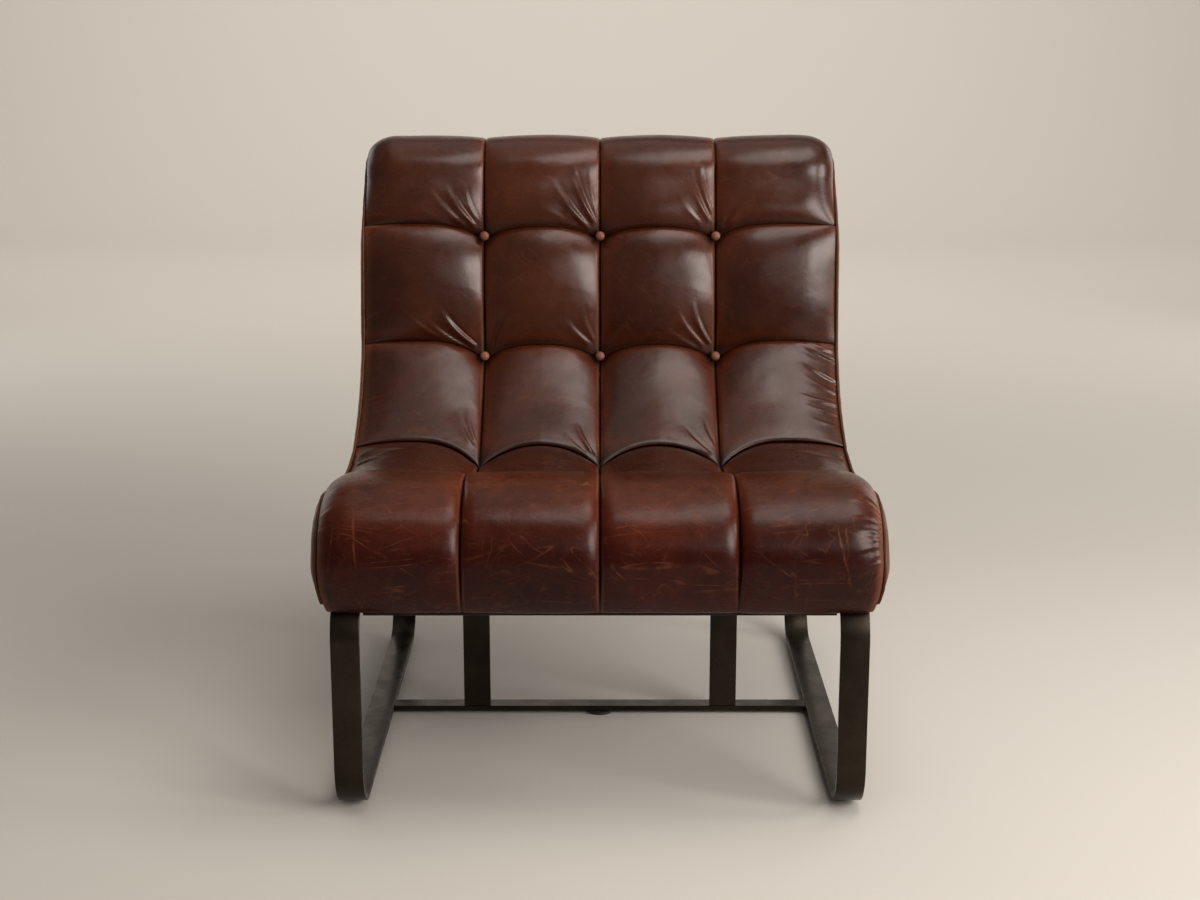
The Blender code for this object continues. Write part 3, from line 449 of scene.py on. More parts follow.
def wrapped_skin(name, places, marks=None, capped=True):
    """A grid whose rows run round a section and whose columns run along the piece. It is
    pulled to its places, an array of (column, row, xyz), closed round and capped."""
    columns, rows = places.shape[:2]
    choose_none()
    bpy.ops.mesh.primitive_grid_add(x_subdivisions=columns - 1, y_subdivisions=rows, size=2)
    item = bpy.context.object
    item.name = item.data.name = name
    mesh = item.data
    start = np.empty(len(mesh.vertices) * 3)
    mesh.vertices.foreach_get("co", start)
    start = start.reshape(-1, 3)
    column = np.rint((start[:, 0] + 1) / 2 * (columns - 1)).astype(int)
    row = np.rint((start[:, 1] + 1) / 2 * rows).astype(int) % rows
    mesh.vertices.foreach_set("co", places[column, row].astype(np.float32).ravel())
    marks = dict(marks or {})
    marks.setdefault("above", np.full(places.shape[:2], FAR))
    for mark, values in marks.items():
        layer = mesh.attributes.new(mark, "FLOAT", "POINT")
        layer.data.foreach_set("value", values[column, row].astype(np.float32))
    item.location = (0, 0, 0)
    steps = [lambda: bpy.ops.mesh.select_all(action="SELECT"),
             lambda: bpy.ops.mesh.remove_doubles(threshold=0.01 * MM)]
    if capped:
        steps += [lambda: bpy.ops.mesh.select_all(action="DESELECT"),
                  lambda: bpy.ops.mesh.select_non_manifold(),
                  lambda: bpy.ops.mesh.fill_holes(sides=0)]
    steps += [lambda: bpy.ops.mesh.select_all(action="SELECT"),
              lambda: bpy.ops.mesh.normals_make_consistent(inside=False)]
    edit(item, *steps)
    return item


# For each row and seam, the pleats from that tuft: where each starts and ends, in
# millimetres across and along the leather from the tuft, its height and its width
PLEATS = {
    (1, 1): ((-12, 12, -60, 74, 3.2, 5.0), (-22, 10, -84, 66, 1.8, 4.0),
             (-30, 8, -108, 44, 1.0, 3.6), (-9, 20, -34, 84, 1.0, 3.4)),
    (1, 2): ((-8, 18, -44, 104, 3.4, 4.8), (-16, 10, -74, 82, 3.0, 5.2),
             (-24, 8, -98, 50, 0.9, 5.0), (-5, 36, -16, 110, 0.8, 3.0)),
    (1, 3): ((-9, 20, -42, 96, 2.4, 4.6), (-6, 34, -26, 118, 1.8, 3.8),
             (-18, 12, -62, 64, 1.0, 4.0), (12, 14, 48, 62, -1.4, 5.0),
             (16, 8, 72, 36, -0.9, 4.6)),
    (2, 1): ((-13, 14, -72, 76, 3.4, 5.2), (-24, 10, -92, 58, 2.4, 4.6),
             (-40, 12, -140, 84, 1.3, 4.4), (-36, 6, -120, 34, 0.9, 4.0),
             (14, 16, 34, 72, -1.5, 4.2)),
    (2, 2): ((-14, 16, -62, 66, 1.3, 6.0), (12, 18, 42, 62, -0.8, 5.4),
             (-8, 22, -30, 84, 0.9, 4.0)),
    (2, 3): ((-8, 18, -38, 88, 2.6, 4.2), (-17, 14, -62, 74, 1.8, 4.2),
             (-26, 10, -84, 50, 0.9, 4.0)),
    (3, 1): ((-12, 30, -40, 98, 1.3, 6.0), (-8, 40, -22, 110, 0.8, 4.0)),
    (3, 2): ((-9, 14, -36, 72, 2.8, 3.8), (-17, 10, -56, 48, 1.6, 3.8),
             (-24, 6, -74, 30, 0.8, 3.6)),
    (3, 3): ((-14, 14, -60, 62, 2.0, 5.0), (-8, 30, -28, 88, 1.0, 4.2),
             (-22, 8, -78, 36, 1.0, 4.0)),
}
# Creases that run in from the side seams, along the leather from the lower buttons
SIDE_CREASES = ((364, -14, 292, 22, -1.8, 6.0), (362, 6, 312, 28, 1.2, 4.5),
                (364, -52, 300, -18, -1.8, 6.5), (364, -70, 306, -42, 1.5, 5.0),
                (364, -92, 296, -84, 2.2, 6.0), (364, -114, 306, -104, 1.8, 4.5),
                (364, -140, 318, -134, 1.2, 4.0), (-364, -90, -316, -80, 0.9, 7.0),
                (-364, -124, -300, -106, 1.0, 8.0), (-364, 60, -324, 82, 0.8, 6.0))
# Creases that run in from both ends of the seat
SEAT_CREASES = ((360, 206, 250, 214, 1.6, 6.0), (360, 190, 268, 200, -1.6, 6.0),
                (360, 172, 280, 178, 1.3, 6.0))
# Creases that run in from the front roll's ends
ROLL_CREASES = ((366, 190, 330, 172, 1.0, 3.2), (366, 200, 322, 188, 1.3, 3.0),
                (366, 209, 338, 203, 1.1, 2.6), (366, 217, 318, 214, 1.2, 3.2),
                (366, 226, 334, 226, 1.4, 2.6), (366, 234, 314, 238, 1.0, 3.4),
                (366, 243, 334, 249, 1.3, 2.7), (366, 252, 320, 262, 1.1, 3.2),
                (366, 262, 338, 274, 1.2, 2.8), (366, 274, 322, 292, 0.9, 3.6),
                (366, 286, 336, 306, 0.8, 3.4), (-366, 206, -332, 194, 0.6, 4.0),
                (-366, 228, -326, 230, 0.7, 4.0), (-366, 250, -336, 258, 0.6, 4.0))


class Upholstery:
    """Places on the leather, worked out for whole arrays of points at once"""

    def __init__(self, context):
        self.shape = BodyShape(context.scene.chair_body, context.scene.chair_quilt)
        self.sizes, self.quilt = self.shape.sizes, self.shape.quilt

    def columns(self):
        """Where the mesh's columns stand across the chair, closer together at the seams"""
        seams, step = self.shape.seams, self.quilt.column_step
        places = [left + (right - left) * spaced(right - left, step)[:-1]
                  for left, right in zip(seams, seams[1:])]
        return np.concatenate(places + [seams[-1:]])

    def height(self, x, place_up, above, below, crown, hold=1.0):
        """How far a quilted panel stands out. above is the distance up from the fold at the
        panel's foot and below the distance down from the one at its head."""
        q, shape = self.quilt, self.shape
        _, place, edge = shape.bay(x)
        # The dome falls towards the seams and folds, and rolls over at the body's sides
        inner = np.where(edge > 0, 0.0, 1.4 * place ** 2)
        outer = 0.66 * edge ** 2.6
        dome = 1 - 0.30 * inner - 0.30 * place_up ** 2 * (1 - edge ** 3) - outer
        # Seams and folds draw it in behind a rounded lip, the folds less at the body's sides
        aside = shape.seam_distance(x)
        seam = lip(aside, LIP) + (q.seam_dip - LIP) * np.exp(-aside / (1.8 * q.seam_reach))
        foot = lip(above, LIP) + (q.fold_dip - LIP) * np.exp(-above / (1.6 * q.fold_reach))
        head = q.fold_dip * np.exp(-below / q.fold_rise)
        fold = np.maximum(foot, head) * (1 - 0.62 * edge ** 2)
        dip = (seam ** 4 + fold ** 4) ** 0.25
        # A wider dimple lies round each tuft
        off = np.hypot(aside, np.minimum(above, below))
        dip = dip + q.tuft_dip * np.exp(-off / q.tuft_reach)
        return crown * dome - dip * hold

    def panel_rows(self, x, start, end, shares, crown, hold, pleats, lap=True, top=False):
        """One row of panels between two folds. Each point gets its x, its length along the
        line, its lift off it, and its distances to the fold below and the fold above."""
        shape, q = self.shape, self.quilt
        share = shares[None, :]
        x = x[:, None] + 0 * share
        start, end = start[:, None], end[:, None]
        length = start + (end - start) * share
        above, below = length - start, end - length
        place_up = 2 * share - 1 + 0 * x
        if top:
            below = below + FAR
            place_up = 0 * x - np.exp(-share / 0.13)
        lift = self.height(x, place_up, above, below, crown(share), hold(share))
        edge = shape.bay(x)[2]
        if lap:
            # The upper panel slides down over the fold at its foot
            slide = np.exp(-above / (6.5 * MM)) * (1 - np.exp(-above / (1.2 * MM)))
            length = length - q.fold_lap * 1.5 * slide * (1 - 0.5 * edge)
        lift = lift + pleat_lift(x, length, pleats) * (1 - np.exp(-above / (4 * MM)))
        spots = np.stack([x, 0 * x, length], axis=-1)
        uneven, fine = drift(spots, 0.11, 3.1), drift(spots, 0.035, 8.4)
        calm = 1 - np.exp(-np.minimum(shape.seam_distance(x), above) / CALM)
        lift = lift + (1.8 * uneven + 0.35 * fine) * MM * calm
        return x, length, lift, above, below

    def tuft_pleats(self, row, level):
        """This row's pleats, moved to its tufts"""
        found = []
        for (number, seam), pleats in PLEATS.items():
            if number == row:
                found += moved(pleats, self.shape.seams[seam] / MM, level / MM)
        return found

    def pad_base(self, length, x=0.0):
        """The underside of the pads: flat on the springs, then behind the back, and lower
        under the rounded corners."""
        s, shape = self.sizes, self.shape
        point, normal = shape.seat_back.at(length), shape.seat_back.normal(length)
        rolled = np.clip((length - shape.row_one) / s.top_roll_height, 0, 1)
        thickness = s.cushion_thickness + (s.roll_thickness - s.cushion_thickness) * rolled
        rising = normal[..., 1] > 0
        down = (point[..., 1] - s.cushion_base) / np.where(rising, normal[..., 1], 1)
        thickness = np.where(rising, np.where(length <= shape.row_three, down,
                                              np.minimum(thickness, down)), thickness)
        thickness = thickness + np.maximum(shape.corner_drop(x, length) - s.roll_thickness * 0.6, 0)
        return point - normal * thickness[..., None]

    def level_crown(self, share):
        """How far the lower rows' panels stand out, the same all along"""
        return self.quilt.crown + 0 * share

    @staticmethod
    def level_hold(share):
        """How firmly the seams hold the lower rows down"""
        return 1.0 + 0 * share

    def top_crown(self, share):
        """The top row flattens as it goes over the roll"""
        past = np.clip((share + 0.08) / 0.86, 0, 1)
        return self.quilt.crown * (1 - 0.85 * past ** 2 * (3 - 2 * past))

    @staticmethod
    def top_hold(share):
        """The seams hold the top row less as it goes over the roll"""
        return 0.3 + 0.7 / (1 + np.exp((share - 0.5) / 0.12))

    def marks(self, x, above, below):
        """How far each point is from a seam or fold, and from a tuft"""
        aside = self.shape.seam_distance(x)
        fold = np.minimum(above, below)
        return np.minimum(aside, fold), np.hypot(aside, fold)

    def back_rows(self, x):
        """The back's three rows of panels, from the seat's fold to the outside back"""
        shape, q = self.shape, self.quilt
        three = shape.row_three + shape.arched(x, q.arch_three) + SEAM_HALF
        two = shape.row_two + shape.arched(x, q.arch_two)
        one = shape.row_one + shape.arched(x, q.arch_one)
        end = np.full_like(x, shape.row_end)
        creases = moved(SIDE_CREASES, 0.0, shape.row_two / MM)
        low_shares = spaced(shape.row_two - shape.row_three, q.row_step)[:-1]
        mid_shares = spaced(shape.row_one - shape.row_two, q.row_step)[:-1]
        top_shares = spaced(shape.row_end - shape.row_one, 1.25 * q.row_step, last=False)
        low = self.panel_rows(x, three, two, low_shares, self.level_crown, self.level_hold,
                              self.tuft_pleats(3, shape.row_three) + creases)
        middle = self.panel_rows(x, two, one, mid_shares, self.level_crown, self.level_hold,
                                 self.tuft_pleats(2, shape.row_two) + creases)
        top = self.panel_rows(x, one, end, top_shares, self.top_crown, self.top_hold,
                              self.tuft_pleats(1, shape.row_one), top=True)
        drop = shape.corner_drop(top[0], top[1])
        top = (top[0], top[1], top[2] - drop, top[3], top[4])
        return [np.concatenate(parts, axis=1) for parts in zip(low, middle, top)]

    def seat_rows(self, x):
        """The seat's one row of panels, from the front roll to the back"""
        shape, q = self.shape, self.quilt
        start = np.full_like(x, FIT)
        end = shape.row_three + shape.arched(x, q.arch_three) - SEAM_HALF
        shares = spaced(shape.row_three, q.row_step)
        creases = [(side * x0, l0, side * x1, l1, height, width) for side in (-1, 1)
                   for x0, l0, x1, l1, height, width in SEAT_CREASES]
        return self.panel_rows(x, start, end, shares, self.level_crown, self.level_hold,
                               creases, lap=False)

    def roll_line(self, x, shares, creases=()):
        """Places on the front roll's leather, from its rear seam round to its heel"""
        shape, s = self.shape, self.sizes
        share = shares[None, :]
        x = x[:, None] + 0 * share
        _, place, edge = shape.bay(x)
        aside = shape.seam_distance(x)
        # The seams' grooves are shallower on top, and deep from the front on
        front = 0.34 + 0.66 / (1 + np.exp((0.42 - share) / 0.03))
        groove = front * (0.48 * lip(aside, 20 * MM) + 3.0 * MM * np.abs(place) ** 7 * (edge == 0)
                          ) + 1.8 * MM * np.exp(-(aside / (2.2 * MM)) ** 2)
        crown = s.bolster_crown * (1.2 - 0.35 * place ** 2) - groove
        # The padding ends at the rear seam and at the heel
        swell = np.minimum(np.minimum(share / 0.12, 1), (1 - share) / 0.3)
        length = shape.bolster.total * share + 0 * x
        lift = (crown - s.bolster_end_drop * shape.round_off(x)) * swell
        lift = lift + pleat_lift(x, length, creases)
        spots = np.stack([x, 0 * x, length], axis=-1)
        uneven, fine = drift(spots, 0.13, 5.7), drift(spots, 0.04, 2.2)
        calm = (1 - np.exp(-aside / CALM)) * (1 - edge ** 6)
        lift = lift + (1.6 * uneven + 0.4 * fine) * MM * calm
        return x, length, lift, aside

    def tuck(self, yz):
        """How far the roll's ends are drawn inwards at its heel"""
        low = np.clip((SLED_TOP + TUCK_HEIGHT - yz[..., 1]) / TUCK_REACH, 0, 1)
        ahead = np.clip((LEG_FACE + TUCK_END - yz[..., 0]) / TUCK_REACH, 0, 1)
        return TUCK_DEPTH * low ** 2.2 * ahead

    def edge_of_roll(self, shares):
        """The front roll's outline at its end seams"""
        _, length, lift, _ = self.roll_line(np.array([self.shape.half]), shares)
        return self.shape.bolster.raised(length, -lift)[0]

    def side_lines(self):
        """The side panel's front edge, from the roll's heel to the top, and its rear edge"""
        shape, s = self.shape, self.sizes
        x = np.array([shape.half])
        roll = self.edge_of_roll(np.linspace(0.94, 0.01, ROLL_EDGE_STEPS))
        seat = self.seat_rows(x)
        close = len(SEAM_STEPS) - 1
        seat = shape.seat_back.raised(seat[1], seat[2])[0][close:-close]
        back = self.back_rows(x)
        rise = shape.seat_back.raised(back[1], back[2])[0]
        rise = rise[back[1][0] > shape.row_three + 4 * MM]
        edge = even_line(np.vstack([roll, seat, rise]), EDGE_STEPS, EDGE_SMOOTHING)
        top = np.argmax(edge[:, 1])
        foot = np.array(shape.place(s.rear_foot - 8 * MM, SLED_TOP + FIT))
        toe = np.array(shape.place(ROLL_WALL, SLED_TOP + FIT))
        steps = np.linspace(0, 1, DECK_STEPS)[:, None]
        deck, rear = toe + (foot - toe) * steps, foot + (edge[-1] - foot) * steps
        behind = edge[top:][::-1]
        return (even_line(edge[:top + 1], PANEL_STEPS, 0),
                even_line(np.vstack([deck, rear[1:], behind[1:]]), REAR_STEPS, 0))


def section(x, yz):
    """Side view places at these x, as x, y and z"""
    return np.concatenate([x[..., None] + 0 * yz[..., :1], yz], axis=-1)


def marked(hidden, **marks):
    """Marks of the points that show, with so many hidden points more in each row"""
    return {name: np.concatenate([shown, np.full((len(shown), hidden), HIDDEN)], axis=1)
            for name, shown in marks.items()}


def node_points(name):
    """The points of a piece of the packed frame"""
    return [vertex.co for vertex in NODES[name].data.vertices]


class ChairOperator:
    """What the chair's operators share"""
    bl_options = {"REGISTER", "UNDO"}


class CHAIR_OT_back_cushion(ChairOperator, bpy.types.Operator):
    """Upholster the back: three rows of buttoned panels that roll over its top"""
    bl_idname = "chair.back_cushion"
    bl_label = "Back cushion"

    def execute(self, context):
        work = Upholstery(context)
        shape = work.shape
        x = work.columns()
        wide, length, lift, above, below = work.back_rows(x)
        front = shape.seat_back.raised(length, lift)
        start = shape.row_three + shape.arched(x, work.quilt.arch_three) + SEAM_HALF
        steps = np.linspace(0, 1, PAD_STEPS)[None, :]
        under = shape.row_end + (start[:, None] - shape.row_end) * steps
        base = work.pad_base(under, x[:, None])
        yz = np.concatenate([front, base], axis=1)
        seam, tuft = work.marks(wide, above, below)
        marks = marked(base.shape[1], seam=seam, tuft=tuft, edge=wide, above=above)
        marks["edge"] = shape.half - np.abs(marks["edge"])
        item = wrapped_skin("back_leather", section(x[:, None], yz), marks)
        finished(item, leather_finish("quilted"), nodes=("back_cushion",))
        return {"FINISHED"}


class CHAIR_OT_seat_cushion(ChairOperator, bpy.types.Operator):
    """Upholster the seat: one row of panels between the front roll and the back"""
    bl_idname = "chair.seat_cushion"
    bl_label = "Seat cushion"

    def execute(self, context):
        work = Upholstery(context)
        shape = work.shape
        x = work.columns()
        wide, length, lift, above, below = work.seat_rows(x)
        top = shape.seat_back.raised(length, lift)
        front_y = shape.seat_back.at(0.0)[0] + FIT
        top[:, 0, 0] = front_y
        top[:, :, 0] = np.maximum(top[:, :, 0], front_y)
        end = length[:, -1]
        behind = work.pad_base(end)[:, None, :]
        heel = work.pad_base(np.full_like(end, shape.row_three - 3 * MM))[:, None, :]
        toe = np.empty_like(heel)
        toe[..., 0], toe[..., 1] = front_y, work.sizes.cushion_base
        yz = np.concatenate([top, behind, heel, toe], axis=1)
        # The edge behind the front roll is no fold, so its marks are moved away from it, and no
        # painted fold shade falls along it
        seam, tuft = work.marks(wide, above + 10 * MM, below)
        marks = marked(3, seam=seam, tuft=tuft, edge=shape.half - np.abs(wide),
                       above=above + 30 * MM)
        item = wrapped_skin("seat_leather", section(x[:, None], yz), marks)
        finished(item, leather_finish("quilted"), nodes=("seat_cushion",))
        return {"FINISHED"}


class CHAIR_OT_front_roll(ChairOperator, bpy.types.Operator):
    """Upholster the rolled front in four bays"""
    bl_idname = "chair.front_roll"
    bl_label = "Front roll"

    def execute(self, context):
        work = Upholstery(context)
        shape, s = work.shape, work.sizes
        x = work.columns()
        shares = spaced(shape.bolster.total, work.quilt.row_step, last=False)
        wide, length, lift, aside = work.roll_line(x, shares, ROLL_CREASES)
        top = shape.bolster.raised(length, -lift)
        rear = shape.seat_back.at(0.0)[0] - FIT
        top[:, 0, 0] = rear
        top[:, :, 0] = np.minimum(top[:, :, 0], rear)
        wall, deck = LEG_FACE + ROLL_WALL - FIT, SLED_TOP + 2 * FIT
        heel = LEG_FACE + 46.2 * MM
        corners = np.array([(heel, deck), (wall, deck), (wall, s.cushion_base),
                            (rear, s.cushion_base)])
        yz = np.concatenate([top, np.broadcast_to(corners, (len(x), *corners.shape))], axis=1)
        # The seam mark brings painted shade into the roll's seam grooves
        marks = marked(len(corners), seam=aside, tuft=0 * aside + FAR,
                       edge=shape.half - np.abs(wide))
        end = np.clip((np.abs(x)[:, None] / shape.half - 0.8) / 0.2, 0, 1) ** 1.5
        across = x[:, None] - np.sign(x)[:, None] * end * work.tuck(yz)
        item = wrapped_skin("front_roll_leather", section(across, yz), marks)
        finished(item, leather_finish("worn"), nodes=("front_bolster",))
        return {"FINISHED"}


class CHAIR_OT_side_panels(ChairOperator, bpy.types.Operator):
    """Cover both sides with a padded leather panel"""
    bl_idname = "chair.side_panels"
    bl_label = "Side panels"

    def execute(self, context):
        work = Upholstery(context)
        shape = work.shape
        front, rear = work.side_lines()
        along = np.linspace(0, 1, len(front))
        rear = SideLine(rear)
        far = rear.at(rear.total * along ** 1.25)
        lane = (1 - np.cos(np.linspace(0, 1, PANEL_ROWS) * math.pi)) / 2
        yz = front[:, None, :] + (far - front)[:, None, :] * lane[None, :, None]
        span = np.hypot(*(far - front).T)[:, None]
        rim = np.minimum(lane * span, (1 - lane) * span)
        ends = np.minimum(along, 1 - along)[:, None]
        # The panel bulges more beside the front roll, and fades out towards both ends
        roll = 1 / (1 + np.exp((along[:, None] - 0.44) / 0.035))
        reach = (15 + 25 * roll) * MM
        near = 1 - np.clip(rim / reach, 0, 1)
        fade = np.clip(ends / 0.05, 0, 1) * np.clip((1 - along[:, None]) / 0.16, 0, 1)
        puff = np.sqrt(fade * np.maximum(1 - near ** 2.2, 0))
        tuck = work.tuck(yz)
        coarse = slice(None, None, 11)  # the hidden side keeps one row in eleven
        for side, label in ((-1, "left"), (1, "right")):
            spots = np.concatenate([yz[..., :1] * 0 + side, yz], axis=-1)
            wave, crease = drift(spots, 0.12, 1.7), drift(spots, 0.032, 6.1)
            gather = np.sin(along[:, None] * 210 + 2.5 * wave) * np.exp(-rim / (9 * MM))
            depth = (0.9 + (5.9 + 4.6 * roll) * puff) * MM
            depth = depth + (0.9 * wave + 0.25 * crease) * MM * puff + 0.3 * MM * gather
            flat = shape.half + FIT - 1.3 * MM * np.exp((along[:, None] - 1) / 0.07) - tuck
            outer = section(side * (flat + depth), yz)
            inner = section(side * flat[:, coarse], yz[:, coarse])[:, ::-1]
            places = np.concatenate([outer, inner], axis=1)
            # The seam mark brings a little painted shade to the rim
            marks = marked(inner.shape[1], seam=rim + 2 * MM, tuft=0 * rim + FAR, edge=rim)
            item = wrapped_skin("side_leather_" + label, places, marks)
            finished(item, leather_finish("side"), nodes=("side_panel_" + label,))
        return {"FINISHED"}


class CHAIR_OT_folded_seams(ChairOperator, bpy.types.Operator):
    """Sew the folded seams that run along the front edge of both side panels"""
    bl_idname = "chair.folded_seams"
    bl_label = "Folded seams"

    def execute(self, context):
        work = Upholstery(context)
        front = even_line(work.side_lines()[0], FOLDED_STEPS, FOLDED_SMOOTHING)
        along = np.gradient(front, axis=0)
        along /= np.linalg.norm(along, axis=-1, keepdims=True)
        out = np.stack([-along[:, 1], along[:, 0]], axis=-1)
        turn = np.linspace(0, 2 * math.pi, FOLDED_SIDES, endpoint=False)[None, :]
        length = np.linspace(0, 1, len(front))[:, None]
        for side, label in ((-1, "left"), (1, "right")):
            seed = 2.3 + side
            sway = drift(np.stack([length[:, 0] * 3, 0 * length[:, 0], 0 * length[:, 0] + seed],
                                  axis=-1), 0.09, 0.7)[:, None]
            ripple = np.sin(length * 330 + 5 * sway)
            # The stitched slit between both halves of the folded seam
            split = np.exp(-((turn - math.pi / 2) / 0.30) ** 2)
            radius = (1.75 + 0.14 * ripple + 0.16 * sway) * MM * (1 - 0.42 * split)
            # Both its ends go down into the leather
            sunk = np.exp(-length / 0.02) + np.exp((length - 1) / 0.03)
            rise = 1.15 * radius * np.sin(turn) + (1.8 + 0.25 * sway - 4 * sunk) * MM
            sidewards = radius * np.cos(turn) + 0.35 * sway * MM
            yz = front[:, None, :] + out[:, None, :] * rise[..., None]
            aside = (2.4 - 3.4 * np.exp((length - 1) / 0.05)) * MM - work.tuck(front)[:, None]
            x = side * (work.shape.half + aside + sidewards)
            # The seam mark brings painted shade over the welt, fullest in the stitched slit
            marks = {"seam": 1.2 * MM * (1 - split) + 0 * rise,
                     "tuft": FAR + 0 * rise, "edge": 0 * rise}
            item = wrapped_skin("folded_seam_" + label, section(x, yz), marks)
            finished(item, leather_finish("edge"),
                     nodes=("welt_" + label,))
        return {"FINISHED"}


class CHAIR_OT_buttons(ChairOperator, bpy.types.Operator):
    """Cover the six buttons with leather"""
    bl_idname = "chair.buttons"
    bl_label = "Buttons"

    def execute(self, context):
        shape = Upholstery(context).shape
        # Half of a button's section: out from its middle and up from its seat
        profile = np.array([(0.0, 6.2), (2.4, 6.0), (4.6, 5.2), (6.2, 3.9), (7.1, 2.2),
                            (7.45, 0.6), (7.1, -0.9), (6.0, -1.9), (3.0, -2.3), (1.4, -2.6),
                            (1.3, -6.0), (0.0, -6.0)]) * MM
        profile = even_line(profile, BUTTON_STEPS, 1)
        turn = np.linspace(0, 2 * math.pi, BUTTON_SIDES, endpoint=False)[:, None]
        for row, length in ((1, shape.row_one), (2, shape.row_two)):
            normal = Vector((0, *shape.seat_back.normal(length)))
            up = Vector((1, 0, 0)).cross(normal)
            for column in (1, 2, 3):
                name = "button_%d_%d" % (row, column)
                low, high = (Vector(corner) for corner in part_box(name))
                middle = (low + high) / 2
                top = max(Vector(corner).dot(normal) for corner in node_points(name))
                seat = middle + normal * (top - middle.dot(normal) - BUTTON_RISE)
                seat.x = shape.seams[column]
                out = profile[None, :, 0]
                # The leather puckers round the button's rim and dips at its middle
                pucker = 0.22 * MM * np.sin(turn * 11 + row + column) * np.exp(
                    -((out - 6.6 * MM) / (1.6 * MM)) ** 2)
                out = out + pucker
                rise = profile[None, :, 1] + 0 * turn
                rise = rise - 0.25 * MM * np.exp(-(out / (1.2 * MM)) ** 2)
                places = (np.array(seat) + (np.cos(turn) * out)[..., None] * np.array((1, 0, 0))
                          + (np.sin(turn) * out)[..., None] * np.array(up)
                          + rise[..., None] * np.array(normal))
                item = wrapped_skin("button_cover_%d_%d" % (row, column),
                                    places.transpose(1, 0, 2), capped=False)
                finished(item, leather_finish("button"), nodes=(name,))
        return {"FINISHED"}


class CHAIR_OT_outside_back(ChairOperator, bpy.types.Operator):
    """Stretch the outside back between the side panels"""
    bl_idname = "chair.outside_back"
    bl_label = "Outside back"

    def execute(self, context):
        work = Upholstery(context)
        shape, s = work.shape, work.sizes
        half = shape.half - 0.5 * MM
        x = np.linspace(-half, half, BACK_COLUMNS)[:, None]
        up = (1 - np.cos(np.linspace(0, 1, BACK_ROWS) * math.pi)) / 2
        foot = np.array(shape.place(s.rear_foot, SLED_TOP + FIT))
        head = shape.seat_back.at(shape.row_end) - np.array((0, 0.5 * MM))
        line = foot + (head - foot) * up[:, None]
        aside = half - np.abs(x)
        side = 1 - np.abs(x / half) ** 6
        level = np.minimum(up, 1 - up)[None, :] * np.linalg.norm(head - foot)
        rim = np.minimum(aside, level)
        wave = drift(np.stack([x + 0 * level, 0 * level + 0 * x, up[None, :] * 0.48 + 0 * x],
                              axis=-1), 0.15, 4.4)
        # The panel swells out between its edges, is gathered at head and foot, and goes in
        # at its rim and along the stitched hem
        swell = 5 * MM * side * (1 - (2 * up[None, :] - 1) ** 4)
        gather = np.sin((x + 0 * level) * 420 + 3 * wave) * np.exp(-level / (16 * MM))
        swell = swell + (0.8 * wave + 0.3 * gather) * MM * (1 - np.exp(-rim / (8 * MM)))
        swell = swell - 3.2 * MM * np.exp(-rim / (2.2 * MM))
        from_hem = rim - HEM
        swell = swell - 0.7 * MM * np.exp(-(from_hem / (1.1 * MM)) ** 2)
        outer = np.stack([line[None, :, 0] + swell, line[None, :, 1] + 0 * swell], axis=-1)
        coarse = slice(None, None, -12)  # the hidden side keeps one row in twelve
        inner = outer[:, coarse, :].copy()
        inner[..., 0] = line[coarse, 0][None, :] - BACK_THICKNESS
        yz = np.concatenate([outer, inner], axis=1)
        # The seam mark brings painted shade along the rim and into the stitched hem
        seam = np.minimum(rim, np.abs(from_hem) + 0.6 * MM) + 0.6 * MM
        marks = marked(inner.shape[1], seam=seam, tuft=0 * rim + FAR, edge=rim)
        item = wrapped_skin("outside_back_leather", section(x, yz), marks)
        finished(item, leather_finish("outside"), nodes=("outside_back_panel",))
        return {"FINISHED"}


class CHAIR_OT_sleds(ChairOperator, bpy.types.Operator):
    """Bend both closed loops from flat bar, with round bends and eased edges"""
    bl_idname = "chair.sleds"
    bl_label = "Sleds"

    def execute(self, context):
        low, high = SLED_LOW, SLED_HIGH
        wide = high[0] - low[0]
        rear, front, top, foot = high[1] - BEND, low[1] + BEND, high[2] - BEND, low[2] + BEND
        line = []
        for y, z, start in ((rear, top, 0), (front, top, 90), (front, foot, 180),
                            (rear, foot, 270)):
            for step in np.linspace(0, 90, BEND_STEPS):
                turn = math.radians(start + step)
                line.append((y, z, math.cos(turn), math.sin(turn)))
        line = np.array(line)[:, None, :]
        far, deep, ease = wide / 2 - BAR_EASE, BAR_EASE - BAR, BAR_EASE
        ring = []
        for across, out, start in ((far, -ease, 0), (-far, -ease, 1), (-far, deep, 2),
                                   (far, deep, 3)):
            for turn in np.linspace(0, math.pi / 2, BAR_CORNER_STEPS) + start * math.pi / 2:
                ring.append((across + ease * math.cos(turn), out + ease * math.sin(turn)))
        ring = np.array(ring)[None, :, :]
        out = BEND + ring[..., 1]
        for side, label in ((-1, "left"), (1, "right")):
            places = np.stack([ring[..., 0] + side * abs(low[0] + wide / 2) + 0 * line[..., 0],
                               line[..., 0] + out * line[..., 2],
                               line[..., 1] + out * line[..., 3]], axis=-1)
            places = np.concatenate([places, places[:1]], axis=0)
            item = wrapped_skin("bent_sled_" + label, places, capped=False)
            finished(item, steel_finish(), nodes=("sled_" + label,), angle=40)
        return {"FINISHED"}


